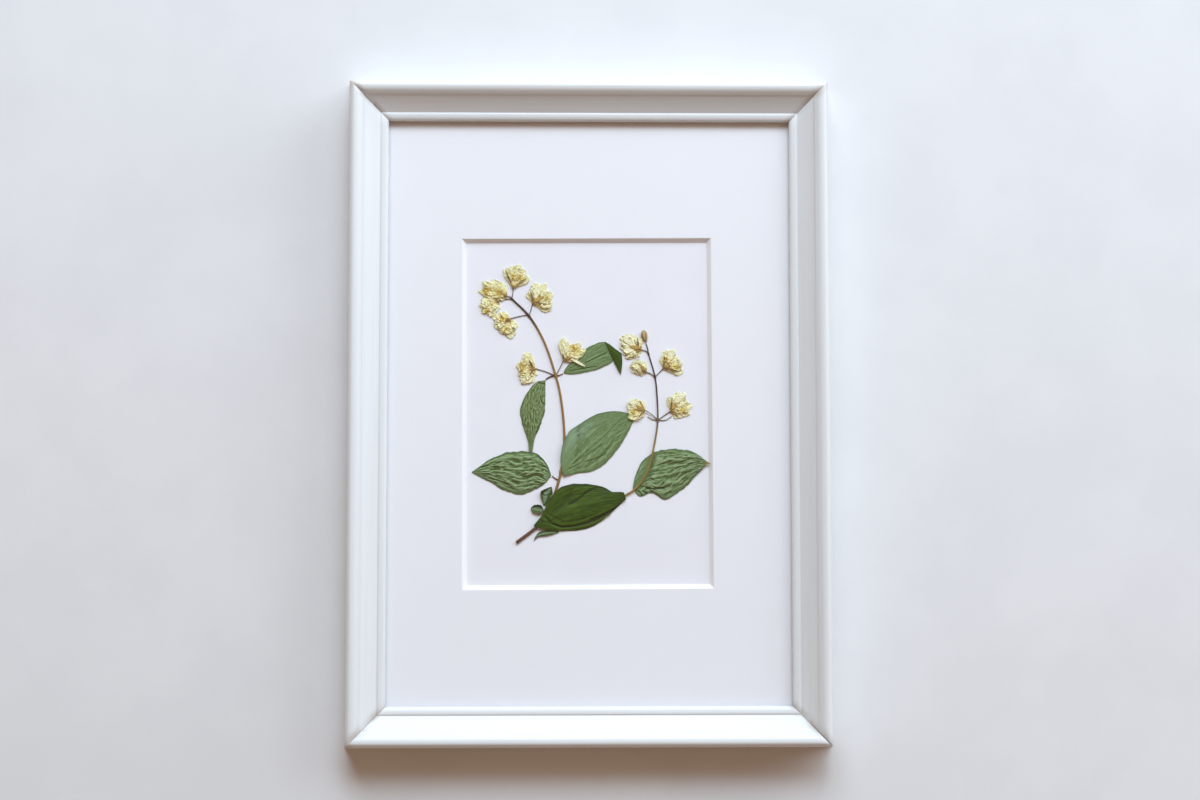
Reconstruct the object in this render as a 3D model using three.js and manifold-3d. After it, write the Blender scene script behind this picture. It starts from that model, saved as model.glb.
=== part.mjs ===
// Pressed flower frame, lying on its back with the picture facing up.
// Millimetres, +Z up. The origin is on the ground, under the middle of the frame; +Y is the picture's top.
import * as THREE from 'three';
import { mergeVertices } from 'three/addons/utils/BufferGeometryUtils.js';
import Module from 'manifold-3d';

// ---------------------------------------------------------------- driving dimensions

const glassWidth = 210;
const glassHeight = 300;
const glassThickness = 2;
const lipCover = 5.25;             // how far the moulding's lip covers the glass, all round
const rebateClearance = 1;         // play between the glass and the rebate wall
const mouldingWidth = 21.5;        // from the sight edge to the outer foot of the moulding
const mitreGap = 0.15;             // hairline between two rails, across the mitre
const lipBeadWidth = 3.8;
const lipBeadTop = 15.5;
const coveWidth = 11.5;            // from the sight edge to the top of the cove
const coveTop = 20.1;
const crownTop = 22.8;             // full depth of the moulding
const crownAt = 16.1;              // the crown slopes from its top down to the quirk
const shoulder = [18.9, 19.6];     // where the crown turns into the flared outer side

const boardThickness = 3;
const boardBack = 5.5;             // height of the backing board's back face
const sheetThickness = 0.5;
const matThickness = 2;
const boardPlay = 0.5;             // how much smaller than the glass the board and sheet are, each side

const matWidth = 207;
const matHeight = 297;
const windowWidth = 120;           // at the foot of the bevel
const windowHeight = 170;
const matShift = [-0.9, -0.7];     // the mat has slipped and turned a little in the rebate
const matTurn = 0.0051;

const tabWidth = 8;
const tabThickness = 0.5;
const tabReach = 9;                // on the board
const tabDepth = 5;                // in the wood
const slotPlay = 0.3;
const shortRailTabs = [-60, 60];   // places along a rail, from its middle
const longRailTabs = [-105, 0, 105];

const hangerLength = 46;
const hangerWidth = 9;
const hangerThickness = 0.8;
const hangerStandOff = 1.5;
const hangerTeeth = 7;
const hangerFromTop = 32;          // from the board's top edge to the middle of the hanger
const rivetSpacing = 37;
const rivetShank = 1.2;
const rivetHead = 2.1;
const rivetHeadHeight = 1;
const rivetLength = 1.9;           // in the board
const rivetPlay = 0.15;

const stalkWidth = 1.35;           // shoots at their foot; the twig is thicker, the pedicels are thin
const stalkFlatness = 0.72;        // a pressed stem's height over its width
const nodeReach = 1.8;
const pedicelWidth = 0.55;
const flowerTop = 1.72;            // height of the highest petal, just under the glass
const petalNotch = 0.84;           // how far in the edge runs between two petals, of the way out
const leafThickness = 0.3;
const leafLow = 0.2;               // height of a leaf's middle layer where it lies on the sheet
const stemCover = 1.4;             // and where it lies over a stem
const coverReach = 9;              // how far from the stem the leaf comes down again
const joint = 0.3;                 // air left between a flower or leaf and what it grew from

// Heights that follow from the stack.
const boardTop = boardBack + boardThickness;
const sheetTop = boardTop + sheetThickness;
const matTop = sheetTop + matThickness;
const lipUnderside = matTop + glassThickness;
const sightX = glassWidth / 2 - lipCover;
const sightY = glassHeight / 2 - lipCover;
const rebate = lipCover + rebateClearance;

// ---------------------------------------------------------------- materials

function finish(color, roughness, metalness = 0) {
  return new THREE.MeshStandardMaterial({ color, roughness, metalness });
}
const whitePaint = finish('#ecebe8', 0.5);
const clearGlass = finish('#eef3f2', 0.05);
clearGlass.transparent = true;
clearGlass.opacity = 0.25;
const whiteMat = finish('#e8e9ee', 0.9);
const whiteCard = finish('#e6e8ee', 0.9);
const brownBoard = finish('#9a7650', 0.8);
const tinPlate = finish('#b9babb', 0.35, 1);
const brownBark = finish('#6b4630', 0.8);
const strawStem = finish('#a8794a', 0.7);
const paleLeaf = finish('#6f8a5c', 0.8);
const darkLeaf = finish('#2f4a17', 0.6);
const creamPetal = finish('#e6dca6', 0.9);
const tanBud = finish('#b59a5e', 0.8);

// ---------------------------------------------------------------- helpers

const wasm = await Module();
wasm.setup();
const root = new THREE.Group();
const up = new THREE.Vector3(0, 0, 1);

function add(name, geometry, material, place = {}) {
  const mesh = new THREE.Mesh(geometry, material);
  mesh.name = name;
  mesh.position.set(...(place.at ?? [0, 0, 0]));
  mesh.rotation.z = place.turn ?? 0;
  root.add(mesh);
}

function toSolid(geometry) {
  const bare = geometry.clone();
  bare.deleteAttribute('normal');
  bare.deleteAttribute('uv');
  const merged = mergeVertices(bare, 1e-4);
  const mesh = new wasm.Mesh({
    numProp: 3,
    vertProperties: Float32Array.from(merged.attributes.position.array),
    triVerts: Uint32Array.from(merged.index.array),
  });
  return new wasm.Manifold(mesh);
}

function toGeometry(solid) {
  const mesh = solid.getMesh();
  const geometry = new THREE.BufferGeometry();
  geometry.setAttribute('position', new THREE.BufferAttribute(Float32Array.from(mesh.vertProperties), 3));
  geometry.setIndex(Array.from(mesh.triVerts));
  return geometry;
}

function fuse(geometries) {
  return toGeometry(geometries.map(toSolid).reduce((whole, piece) => whole.add(piece)));
}

function cut(geometry, cutters) {
  return toGeometry(cutters.map(toSolid).reduce((whole, piece) => whole.subtract(piece), toSolid(geometry)));
}

function fromPoints(points, triangles) {
  const geometry = new THREE.BufferGeometry();
  const numbers = points.flatMap((p) => [p.x, p.y, p.z]);
  geometry.setAttribute('position', new THREE.Float32BufferAttribute(numbers, 3));
  geometry.setIndex(triangles);
  return geometry;
}

function seeded(seed) {
  let state = seed * 7919 + 17;
  return () => {
    state = (state * 16807) % 2147483647;
    return state / 2147483647;
  };
}

function smooth(t) {
  const s = Math.min(1, Math.max(0, t));
  return s * s * (3 - 2 * s);
}

function plate(width, height, thickness, chamfer = 0.3) {
  const x = width / 2 - chamfer;
  const y = height / 2 - chamfer;
  const outline = new THREE.Shape([[-x, -y], [x, -y], [x, y], [-x, y]].map((p) => new THREE.Vector2(...p)));
  const geometry = new THREE.ExtrudeGeometry(outline, {
    depth: thickness - 2 * chamfer,
    bevelThickness: chamfer,
    bevelSize: chamfer,
    bevelSegments: 1,
  });
  return geometry.translate(0, 0, chamfer);
}

// ---------------------------------------------------------------- moulding

// Section of the rail: x runs outward from the sight edge, y is the height. Going outward it has
// a lip bead, a groove, a cove that rises outward, a quirk, a crown that leans in like the cove
// and a flared side.
function mouldingSection() {
  const section = new THREE.Shape();
  section.moveTo(0, lipUnderside);
  section.lineTo(0, lipUnderside + 0.9);
  section.bezierCurveTo(0.15, lipBeadTop - 0.6, 1.3, lipBeadTop - 0.05, lipBeadWidth - 0.9, lipBeadTop);
  section.quadraticCurveTo(lipBeadWidth - 0.3, lipBeadTop, lipBeadWidth, lipBeadTop - 0.25);
  section.lineTo(lipBeadWidth + 0.25, lipBeadTop - 0.3);
  section.quadraticCurveTo(coveWidth - 3.6, lipBeadTop + 1.7, coveWidth, coveTop);
  section.lineTo(coveWidth + 0.45, coveTop + 0.65);
  section.lineTo(crownAt - 2.7, crownTop - 0.85);
  section.quadraticCurveTo(crownAt - 1.55, crownTop, crownAt, crownTop);
  section.bezierCurveTo(crownAt + 1.3, crownTop, shoulder[0] - 0.4, shoulder[1] + 1.9, ...shoulder);
  section.bezierCurveTo(shoulder[0] + 0.5, 12, mouldingWidth - 1.9, 5, mouldingWidth, 0);
  section.lineTo(rebate, 0);
  section.lineTo(rebate, lipUnderside);
  return section;
}

function tabSlot(x) {
  const depth = tabDepth + slotPlay;
  const slot = new THREE.BoxGeometry(tabWidth + 2 * slotPlay, depth + 1, tabThickness + 2 * slotPlay);
  return slot.translate(x, rebate + (depth - 1) / 2, boardBack - tabThickness / 2);
}

// One rail with mitred ends; x runs along it, y outward.
function rail(halfSight, tabPlaces) {
  const unitLength = { depth: 1, bevelEnabled: false, curveSegments: 6 };
  const geometry = new THREE.ExtrudeGeometry(mouldingSection(), unitLength);
  const position = geometry.attributes.position;
  for (let i = 0; i < position.count; i += 1) {
    const outward = position.getX(i);
    const end = position.getZ(i) > 0.5 ? 1 : -1;
    position.setXYZ(i, end * (halfSight + outward - mitreGap * Math.SQRT1_2), outward, position.getY(i));
  }
  return cut(geometry, tabPlaces.map(tabSlot));
}

function tab() {
  const half = tabWidth / 2;
  const corner = tabWidth / 4;
  const outline = new THREE.Shape();
  outline.moveTo(-half, tabDepth);
  outline.lineTo(-half, corner - tabReach);
  outline.lineTo(corner - half, -tabReach);
  outline.lineTo(half - corner, -tabReach);
  outline.lineTo(half, corner - tabReach);
  outline.lineTo(half, tabDepth);
  return new THREE.ExtrudeGeometry(outline, { depth: tabThickness, bevelEnabled: false });
}

const rails = {
  top: { half: sightX, at: [0, sightY], turn: 0, tabs: shortRailTabs },
  left: { half: sightY, at: [-sightX, 0], turn: Math.PI / 2, tabs: longRailTabs },
  bottom: { half: sightX, at: [0, -sightY], turn: Math.PI, tabs: shortRailTabs },
  right: { half: sightY, at: [sightX, 0], turn: -Math.PI / 2, tabs: longRailTabs },
};
for (const [side, { half, at, turn, tabs }] of Object.entries(rails)) {
  add(`rail_${side}`, rail(half, tabs), whitePaint, { at: [...at, 0], turn });
  tabs.forEach((x, i) => {
    const place = new THREE.Vector3(x, rebate, boardBack - tabThickness).applyAxisAngle(up, turn);
    add(`tab_${side}_${i + 1}`, tab(), tinPlate, { at: [place.x + at[0], place.y + at[1], place.z], turn });
  });
}

// ---------------------------------------------------------------- glass, mat, sheet and board

function matBoard() {
  const ring = new THREE.Shape();
  ring.moveTo(-matWidth / 2, -matHeight / 2);
  ring.lineTo(matWidth / 2, -matHeight / 2);
  ring.lineTo(matWidth / 2, matHeight / 2);
  ring.lineTo(-matWidth / 2, matHeight / 2);
  const opening = new THREE.Path();
  opening.moveTo(-windowWidth / 2, -windowHeight / 2);
  opening.lineTo(-windowWidth / 2, windowHeight / 2);
  opening.lineTo(windowWidth / 2, windowHeight / 2);
  opening.lineTo(windowWidth / 2, -windowHeight / 2);
  ring.holes.push(opening);
  const geometry = new THREE.ExtrudeGeometry(ring, { depth: matThickness, bevelEnabled: false });
  const position = geometry.attributes.position;
  for (let i = 0; i < position.count; i += 1) {
    const atWindow = Math.abs(position.getX(i)) < windowWidth / 2 + 1;
    if (atWindow && position.getZ(i) > matThickness / 2) {
      // The cutter leans 45 degrees, so the window is wider at the top by the mat's thickness.
      position.setX(i, position.getX(i) + Math.sign(position.getX(i)) * matThickness);
      position.setY(i, position.getY(i) + Math.sign(position.getY(i)) * matThickness);
    }
  }
  return geometry;
}

function disc(radius, height) {
  return new THREE.CylinderGeometry(radius, radius, height, 12).rotateX(Math.PI / 2);
}

const hangerY = glassHeight / 2 - boardPlay - hangerFromTop;
const rivetPlaces = [-rivetSpacing / 2, rivetSpacing / 2];

function backingBoard() {
  const board = plate(glassWidth - 2 * boardPlay, glassHeight - 2 * boardPlay, boardThickness);
  return cut(board, rivetPlaces.map((x) => disc(rivetShank + rivetPlay, 4).translate(x, hangerY, 0)));
}

add('backing_board', backingBoard(), brownBoard, { at: [0, 0, boardBack] });
add('backing_sheet', plate(glassWidth - 2 * boardPlay, glassHeight - 2 * boardPlay, sheetThickness, 0.05),
  whiteCard, { at: [0, 0, boardTop] });
add('mat_board', matBoard(), whiteMat, { at: [...matShift, sheetTop], turn: matTurn });
add('glass_pane', plate(glassWidth, glassHeight, glassThickness), clearGlass, { at: [0, 0, matTop] });

// ---------------------------------------------------------------- hanger

// Sawtooth hanger: its ends lie on the board, and its toothed middle stands off behind it.
function hanger() {
  const half = hangerLength / 2;
  const step = half - 9;
  const t = hangerThickness;
  const side = new THREE.Shape();
  side.moveTo(-half, 0);
  side.lineTo(-half, -t);
  side.lineTo(-step - 0.4, -t);
  side.lineTo(-step + 1, -hangerStandOff - t);
  side.lineTo(step - 1, -hangerStandOff - t);
  side.lineTo(step + 0.4, -t);
  side.lineTo(half, -t);
  side.lineTo(half, 0);
  side.lineTo(step, 0);
  side.lineTo(step - 1.4, -hangerStandOff);
  side.lineTo(1.4 - step, -hangerStandOff);
  side.lineTo(-step, 0);
  const strip = new THREE.ExtrudeGeometry(side, { depth: hangerWidth, bevelEnabled: false });
  strip.rotateX(Math.PI / 2).translate(0, hangerWidth / 2, 0);
  const pitch = (2 * step - 6) / hangerTeeth;
  const cutters = [];
  for (let i = 0; i < hangerTeeth; i += 1) {
    const x = (i - (hangerTeeth - 1) / 2) * pitch;
    const notch = new THREE.CylinderGeometry(pitch * 0.55, pitch * 0.55, 6, 3);
    cutters.push(notch.rotateX(Math.PI / 2).translate(x, -hangerWidth / 2, -2));
  }
  rivetPlaces.forEach((x) => cutters.push(disc(rivetShank + rivetPlay, 4).translate(x, 0, 0)));
  return cut(strip, cutters);
}

function rivet() {
  const profile = [
    [0, rivetLength],
    [rivetShank, rivetLength],
    [rivetShank, -hangerThickness],
    [rivetHead, -hangerThickness],
    [rivetHead * 0.86, -hangerThickness - 0.6 * rivetHeadHeight],
    [0, -hangerThickness - rivetHeadHeight],
  ];
  const points = profile.reverse().map(([r, z]) => new THREE.Vector2(r, z));
  return new THREE.LatheGeometry(points, 12).rotateX(Math.PI / 2);
}

add('hanger_plate', hanger(), tinPlate, { at: [0, hangerY, boardBack] });
rivetPlaces.forEach((x, i) => {
  add(`hanger_rivet_${i + 1}`, rivet(), tinPlate, { at: [x, hangerY, boardBack] });
});

// ---------------------------------------------------------------- sprig: where everything lies
// Plan positions are in millimetres from the middle of the frame; heights are above the sheet.

// A flower is pressed sideways: `calyx` is where its stalk ends, and `petals` are the petal tips in turn.
const flowers = {
  flower_crown: {
    calyx: [-37.8, 61.6], petals: [[-42.1, 71.5], [-38.4, 73], [-34.8, 73.6], [-31.9, 71], [-29.8, 67.1]],
  },
  flower_crown_left: {
    calyx: [-41, 57.6],
    petals: [[-44.3, 64.3], [-48.3, 65.6], [-53, 64.3], [-54.8, 59.8], [-51.4, 57.1], [-45, 57]],
  },
  flower_crown_low: {
    calyx: [-45, 55.2], petals: [[-54.2, 55.8], [-54.7, 52.4], [-53.2, 49.1], [-49.8, 47], [-46.5, 50.7]],
  },
  flower_shoulder_right: {
    calyx: [-28, 53.9],
    petals: [[-29.7, 60.3], [-26.6, 64.5], [-21.7, 63.8], [-17.6, 58.8], [-17.9, 54.3], [-18.9, 50.8]],
  },
  flower_shoulder_left: {
    calyx: [-39.4, 46],
    petals: [[-44.4, 48.9], [-48.1, 47], [-47.2, 42.2], [-44.3, 39.1], [-38.6, 36], [-36.9, 40.9]],
  },
  flower_waist_left: {
    calyx: [-26.9, 21.2],
    petals: [[-32.1, 29.5], [-35.9, 22.8], [-35.2, 17.9], [-33.6, 13.7], [-30.5, 13.9], [-27.9, 18.3]],
  },
  flower_waist_right: {
    calyx: [-12.6, 25.7], lift: 0.66,
    petals: [[-13.1, 36.8], [-8.8, 33], [-4.4, 33.9], [-1.7, 30.4], [-2.2, 23.2]],
  },
  flower_top_right: {
    calyx: [25.9, 30.9],
    petals: [
      [24.1, 36.7], [21.5, 37.9], [18.1, 38.8], [15.3, 37.1], [15.5, 31.8], [17.9, 26.6], [22.5, 27.6],
    ],
  },
  flower_small: {
    calyx: [28.4, 19.8], petals: [[26.3, 24.8], [22.8, 26], [20.1, 23], [20.7, 20.6], [24.9, 19.2]],
  },
  flower_middle_right: {
    calyx: [37, 21.6], petals: [[37.3, 27.6], [39.1, 30.9], [42.4, 30.9], [46.2, 24.6], [46.7, 19.7]],
  },
  flower_low_left: {
    calyx: [27.6, 0.5], lift: 0.62,
    petals: [[25.1, 5.2], [21, 6.1], [18.2, 3], [19.1, -3.3], [20.7, -4.2], [24.5, -2.3]],
  },
  flower_low_right: {
    calyx: [40.4, 0.2],
    petals: [[40.8, 7.9], [44.4, 9.6], [47.7, 9.3], [51.1, 3.1], [50, -0.9], [45.4, -2.5]],
  },
};
const bud = { foot: [28.3, 33.9], tip: [26.9, 40.6], width: 3.3, height: 1.6 };

// Stems run through [x, y, height of the middle].
const twigPath = [[-35.8, -64.8, 0.65], [-26.4, -57.6, 0.62], [-23.4, -54.9, 0.55]];
const leftShootPath = [
  [-22.2, -52.6, 0.5], [-16.6, -39.4, 0.5], [-13.8, -29, 0.5], [-12.3, -13, 0.5], [-14.3, 8.1, 0.5],
  [-16.7, 18.1, 0.48], [-22.6, 35.2, 0.44], [-30, 47.7, 0.4], [-38.9, 56.6, 0.38],
];
const rightShootPath = [
  [-21, -54.2, 0.5], [-5, -49.6, 0.5], [10, -45.3, 0.5], [17, -42, 0.6], [22.6, -38.5, 0.95],
  [27.8, -31.7, 1], [30.6, -23.5, 1], [32.9, -13, 0.6], [34, -4.4, 0.44], [33.8, 5.8, 0.4],
  [32.7, 17.3, 0.38], [29.4, 29.2, 0.34],
];
const pedicels = {
  left_shoot: [
    { from: [-38.6, 56.3], to: 'flower_crown' }, { from: [-38.8, 56.5], to: 'flower_crown_left' },
    { from: [-38.4, 56.1], to: 'flower_crown_low' }, { from: [-30, 47.7], to: 'flower_shoulder_right' },
    { from: [-30.6, 48.2], to: 'flower_shoulder_left' }, { from: [-16.8, 17.8], to: 'flower_waist_left' },
    { from: [-16.6, 17.8], to: 'flower_waist_right' },
  ],
  right_shoot: [
    { from: [29.4, 29.1], to: 'flower_top_right' }, { from: [32.7, 17], to: 'flower_small' },
    { from: [32.8, 17.3], to: 'flower_middle_right' }, { from: [34, -4.2], to: 'flower_low_left' },
    { from: [34, -4.4], to: 'flower_low_right' },
  ],
};
const bracts = [[[34, -4.3], [37.8, -4.3], [41, -2.4]], [[34, -4.4], [31.6, -4], [29, -2.6]]];
const leafStalks = [
  { path: [[-14.9, -34.2], [-16.6, -33.3], [-18.4, -31.9]], width: 0.7 },
  { path: [[-16.7, 18], [-19.4, 17.3], [-21.6, 15.9]], width: 0.9 },
  { path: [[-16.6, 17.9], [-14.8, 18], [-13, 18.8]], width: 0.7 },
];
const budStalk = [[29.4, 29.1], [29, 31.6], [28.45, 33.6]];

// Leaves: the rim runs from base to tip along both sides; `over` names the stems that a leaf lies on.
const leaves = {
  leaf_lower_left: {
    base: [-18.9, -31.7], tip: [-58.1, -30.1],
    left: [[-22.6, -36.2], [-33.8, -40.9], [-42.9, -38.4], [-50.8, -34]],
    right: [[-20.9, -26.2], [-26, -21], [-37, -19.7], [-47.7, -23]],
    arch: 0.35, wrinkles: 3, ripple: 0.26, steps: [11, 12],
  },
  leaf_upper_left: {
    base: [-22, 15.4], tip: [-29, -19.9],
    left: [[-21.8, 8.3], [-22, 0.3], [-24.4, -7.2], [-27.2, -14.3]],
    right: [[-26, 14.7], [-31.2, 8.7], [-34.2, 0.3], [-32.7, -7.6], [-30.5, -15.5]],
    arch: 0.7, wrinkles: 1, ripple: 0.14, tipRise: 0.5, steps: [10, 6],
  },
  leaf_centre: {
    base: [-12.9, -31.4], tip: [22.9, -2.1],
    left: [[-14.2, -24.3], [-12.9, -15.9], [-9.4, -9.6], [-3.3, -5.1], [5.1, -1], [14.2, 0.2]],
    right: [[-5.1, -30.6], [3, -29.1], [9.9, -23.7], [16.8, -14.7], [21.4, -6]],
    arch: 0.2, wrinkles: 1.5, ripple: 0.1, over: [leftShootPath], steps: [12, 8],
  },
  leaf_front: {
    base: [-27.3, -56.6], tip: [17.7, -41.8],
    left: [[-24, -52], [-19.9, -44.2], [-14.6, -38], [-8.5, -35.7], [2.7, -36.2], [11.3, -39.3]],
    right: [[-21.5, -58.6], [-14.6, -59.1], [-4.3, -58.7], [4.3, -55.6], [12.1, -49.1]],
    arch: 0.2, wrinkles: 1, ripple: 0.12, over: [twigPath, leftShootPath, rightShootPath],
    fold: { at: -0.5, drop: 0.35 }, steps: [14, 9],
  },
  leaf_right: {
    base: [21.6, -38.2], tip: [60, -25.9],
    left: [[22.6, -32.9], [25.8, -25.3], [31.3, -20.6], [40.8, -18.6], [51.7, -20.2], [58.2, -24.6]],
    right: [[25, -42], [31.6, -40.5], [37, -43.8], [45.8, -38.7], [53.5, -31.5], [58, -26.6]],
    arch: 0.3, wrinkles: 3, ripple: 0.28, under: rightShootPath, tipRise: 1.2, steps: [11, 12],
  },
  leaf_top: {
    base: [-12.6, 19.2], tip: [13.6, 30.6],
    left: [[-11.4, 22], [-7.5, 25.9], [-4, 29.2], [0.1, 32.3], [5, 34.4], [9, 34.2]],
    right: [[-9.4, 18.5], [-3, 19.3], [5.4, 21.5], [11.6, 25]],
    arch: 0.12, wrinkles: 1, ripple: 0.06, steps: [12, 6],
  },
  leaf_bud_upper: {
    base: [-22.4, -46.6], tip: [-18.7, -37.3],
    left: [[-23.2, -44.4], [-24.1, -41.5], [-21.4, -38.3]], right: [[-20.4, -44.6], [-18.4, -41.4], [-18.2, -39.2]],
    arch: 0.6, wrinkles: 0.5, ripple: 0.25, steps: [5, 4],
  },
  leaf_bud_middle: {
    base: [-22.6, -48.9], tip: [-28.9, -47.9],
    left: [[-23.6, -50.3], [-26, -50.4], [-28.2, -49.4]], right: [[-23.4, -46.8], [-25.2, -46.1], [-27.6, -46.6]],
    arch: 0.6, wrinkles: 0.5, ripple: 0.25, steps: [5, 4],
  },
  leaf_bud_lower: {
    base: [-15, -59.5], tip: [-27.3, -64],
    left: [[-17.4, -60.6], [-21.6, -61.5], [-26.4, -63]], right: [[-18, -59.2], [-22, -59], [-26.6, -62]],
    arch: 0.5, wrinkles: 0.5, ripple: 0.15, steps: [6, 4],
  },
};
const flap = {
  inner: [[7.6, 35], [12, 25.4], [15.3, 18.8]], outer: [[16.2, 28.9], [16.4, 24], [15.8, 18.7]],
  foldHeight: 0.36, height: 0.66,
};

// ---------------------------------------------------------------- stems

// A tapered tube of flattened section through [x, y, height] points, swollen at its nodes.
function stem(path, widthAt, options = {}) {
  const { steps = 24, sides = 6, flatness = stalkFlatness } = options;
  const curve = new THREE.CatmullRomCurve3(path.map((p) => new THREE.Vector3(...p)), false, 'centripetal');
  const points = [];
  const triangles = [];
  for (let i = 0; i <= steps; i += 1) {
    const middle = curve.getPointAt(i / steps);
    const across = new THREE.Vector3().crossVectors(up, curve.getTangentAt(i / steps)).normalize();
    const width = widthAt(i / steps, middle);
    const halfHeight = Math.min((width * flatness) / 2, middle.z - 0.03);
    for (let k = 0; k < sides; k += 1) {
      const angle = (2 * Math.PI * k) / sides;
      const point = middle.clone().addScaledVector(across, (Math.cos(angle) * width) / 2);
      points.push(point.addScaledVector(up, Math.sin(angle) * halfHeight));
      if (i < steps) {
        const a = i * sides + k;
        const b = i * sides + ((k + 1) % sides);
        triangles.push(a, b, b + sides, a, b + sides, a + sides);
      }
    }
  }
  const last = steps * sides;
  for (let k = 1; k < sides - 1; k += 1) {
    triangles.push(0, k + 1, k, last, last + k, last + k + 1);
  }
  return fromPoints(points, triangles);
}

// Swelling of a stem around its nodes, in millimetres of width.
function nodeSwelling(point, nodes, size = 0.5) {
  const near = ([x, y]) => smooth(1 - Math.hypot(point.x - x, point.y - y) / nodeReach);
  return nodes.reduce((sum, node) => sum + size * near(node), 0);
}

// The middle of a flower, from its calyx and its petal tips.
function heartOf({ calyx, petals }) {
  const points = [calyx, ...petals];
  return [0, 1].map((axis) => points.reduce((sum, p) => sum + p[axis], 0) / points.length);
}

// Where a flower's stalk ends: just short of its calyx, on the side away from the heart.
function stalkEnd(name) {
  const { calyx, lift = 0 } = flowers[name];
  const [x, y] = heartOf(flowers[name]);
  const reach = joint / Math.hypot(calyx[0] - x, calyx[1] - y);
  return [calyx[0] + reach * (calyx[0] - x), calyx[1] + reach * (calyx[1] - y), 0.4 + lift];
}

// A thin stalk from a node to the calyx of its flower, leaving the node with a slight bend.
function pedicel({ from, to }) {
  const calyx = stalkEnd(to);
  const bend = [(from[0] + calyx[0]) / 2 + 0.25, (from[1] + calyx[1]) / 2 + 0.25, (0.4 + calyx[2]) / 2];
  return stem([[...from, 0.4], bend, calyx], () => pedicelWidth, { steps: 3, sides: 5, flatness: 0.9 });
}

function sideStalk(path, width) {
  const lying = path.map((p) => [...p, 0.36]);
  return stem(lying, (t) => width * (1 - 0.35 * t), { steps: 3, sides: 5, flatness: 0.8 });
}

const leftNodes = [[-13.8, -29.6], [-16.7, 18.1], [-30.2, 47.6], [-38.9, 56.4]];
const rightNodes = [[34, -4.4], [32.7, 17.2], [29.4, 29.1]];

const twigWidth = (t) => 1.3 * stalkWidth - 0.15 * t + 0.7 * smooth(5 * t - 4);
add('twig', stem(twigPath, twigWidth, { steps: 6 }), brownBark, { at: [0, 0, sheetTop] });
const leftWidth = (t, p) => stalkWidth * (1 - 0.35 * t) + nodeSwelling(p, leftNodes);
const rightWidth = (t, p) => (stalkWidth - 0.1) * (1 - 0.4 * t) + nodeSwelling(p, rightNodes, 0.4);
add('left_shoot', fuse([
  stem(leftShootPath, leftWidth, { steps: 27 }),
  ...pedicels.left_shoot.map(pedicel),
  ...leafStalks.map(({ path, width }) => sideStalk(path, width)),
]), strawStem, { at: [0, 0, sheetTop] });
add('right_shoot', fuse([
  stem(rightShootPath, rightWidth, { steps: 28 }),
  ...pedicels.right_shoot.map(pedicel),
  ...bracts.map((path) => sideStalk(path, 0.5)),
  sideStalk(budStalk, 0.7),
]), strawStem, { at: [0, 0, sheetTop] });

// ---------------------------------------------------------------- leaves

// How far (x, y) is from a stem's line.
function distanceTo(path, x, y) {
  let nearest = Infinity;
  for (let i = 1; i < path.length; i += 1) {
    const [ax, ay] = path[i - 1];
    const [bx, by] = path[i];
    const t = ((x - ax) * (bx - ax) + (y - ay) * (by - ay)) / ((bx - ax) ** 2 + (by - ay) ** 2);
    const s = Math.min(1, Math.max(0, t));
    nearest = Math.min(nearest, Math.hypot(x - ax - s * (bx - ax), y - ay - s * (by - ay)));
  }
  return nearest;
}

// Height of a leaf's middle layer at rim fraction u (base to tip) and v (-1 right rim, 1 left rim).
function leafHeight(leaf, u, v, x, y) {
  const { arch, wrinkles, ripple, over = [], under, tipRise = 0, fold } = leaf;
  const inside = smooth(3 * (1 - Math.abs(v))) * smooth(5 * u) * smooth(5 * (1 - u));
  const wave = 1 + Math.sin(2 * Math.PI * wrinkles * (v + 0.3 * Math.sin(4 * u)) + 1);
  let height = arch * (1 - v * v) * Math.sin(Math.PI * u) + ripple * wave * inside;
  if (under) {
    height *= smooth((distanceTo(under, x, y) - stalkWidth) / 6);
  }
  const cover = over.map((path) => stemCover * smooth(1.12 - distanceTo(path, x, y) / coverReach));
  const turnedDown = fold ? fold.drop * smooth((fold.at - v) / 0.15) * Math.sin(Math.PI * u) : 0;
  return Math.max(leafLow, Math.max(leafLow + height, ...cover) - turnedDown) + tipRise * u ** 8;
}

function rimCurve(points) {
  return new THREE.CatmullRomCurve3(points.map(([x, y]) => new THREE.Vector3(x, y, 0)));
}

// A closed thin sheet between its right and left rim, both running from base to tip.
function sheetBetween(right, left, [along, across], heightAt) {
  const row = across + 1;
  const layer = row * (along + 1);
  const points = [];
  for (const face of [1, -1]) {
    for (let i = 0; i <= along; i += 1) {
      const u = i / along;
      for (let j = 0; j <= across; j += 1) {
        const point = right.getPointAt(u).lerp(left.getPointAt(u), j / across);
        const atRim = j === 0 || j === across || i === 0 || i === along;
        const half = (leafThickness / 2) * (atRim ? 0.5 : 1);
        points.push(point.setZ(heightAt(u, (2 * j) / across - 1, point) + face * half));
      }
    }
  }
  const triangles = [];
  const quad = (a, b, c, d) => triangles.push(a, b, c, a, c, d);
  for (let i = 0; i < along; i += 1) {
    for (let j = 0; j < across; j += 1) {
      const a = i * row + j;
      quad(a, a + row, a + row + 1, a + 1);
      quad(layer + a + 1, layer + a + row + 1, layer + a + row, layer + a);
    }
    const low = i * row;
    const high = low + across;
    quad(layer + low, layer + low + row, low + row, low);
    quad(high, high + row, layer + high + row, layer + high);
  }
  for (let j = 0; j < across; j += 1) {
    const end = along * row + j;
    quad(j, j + 1, layer + j + 1, layer + j);
    quad(end + 1, end, layer + end, layer + end + 1);
  }
  return fromPoints(points, triangles);
}

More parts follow.
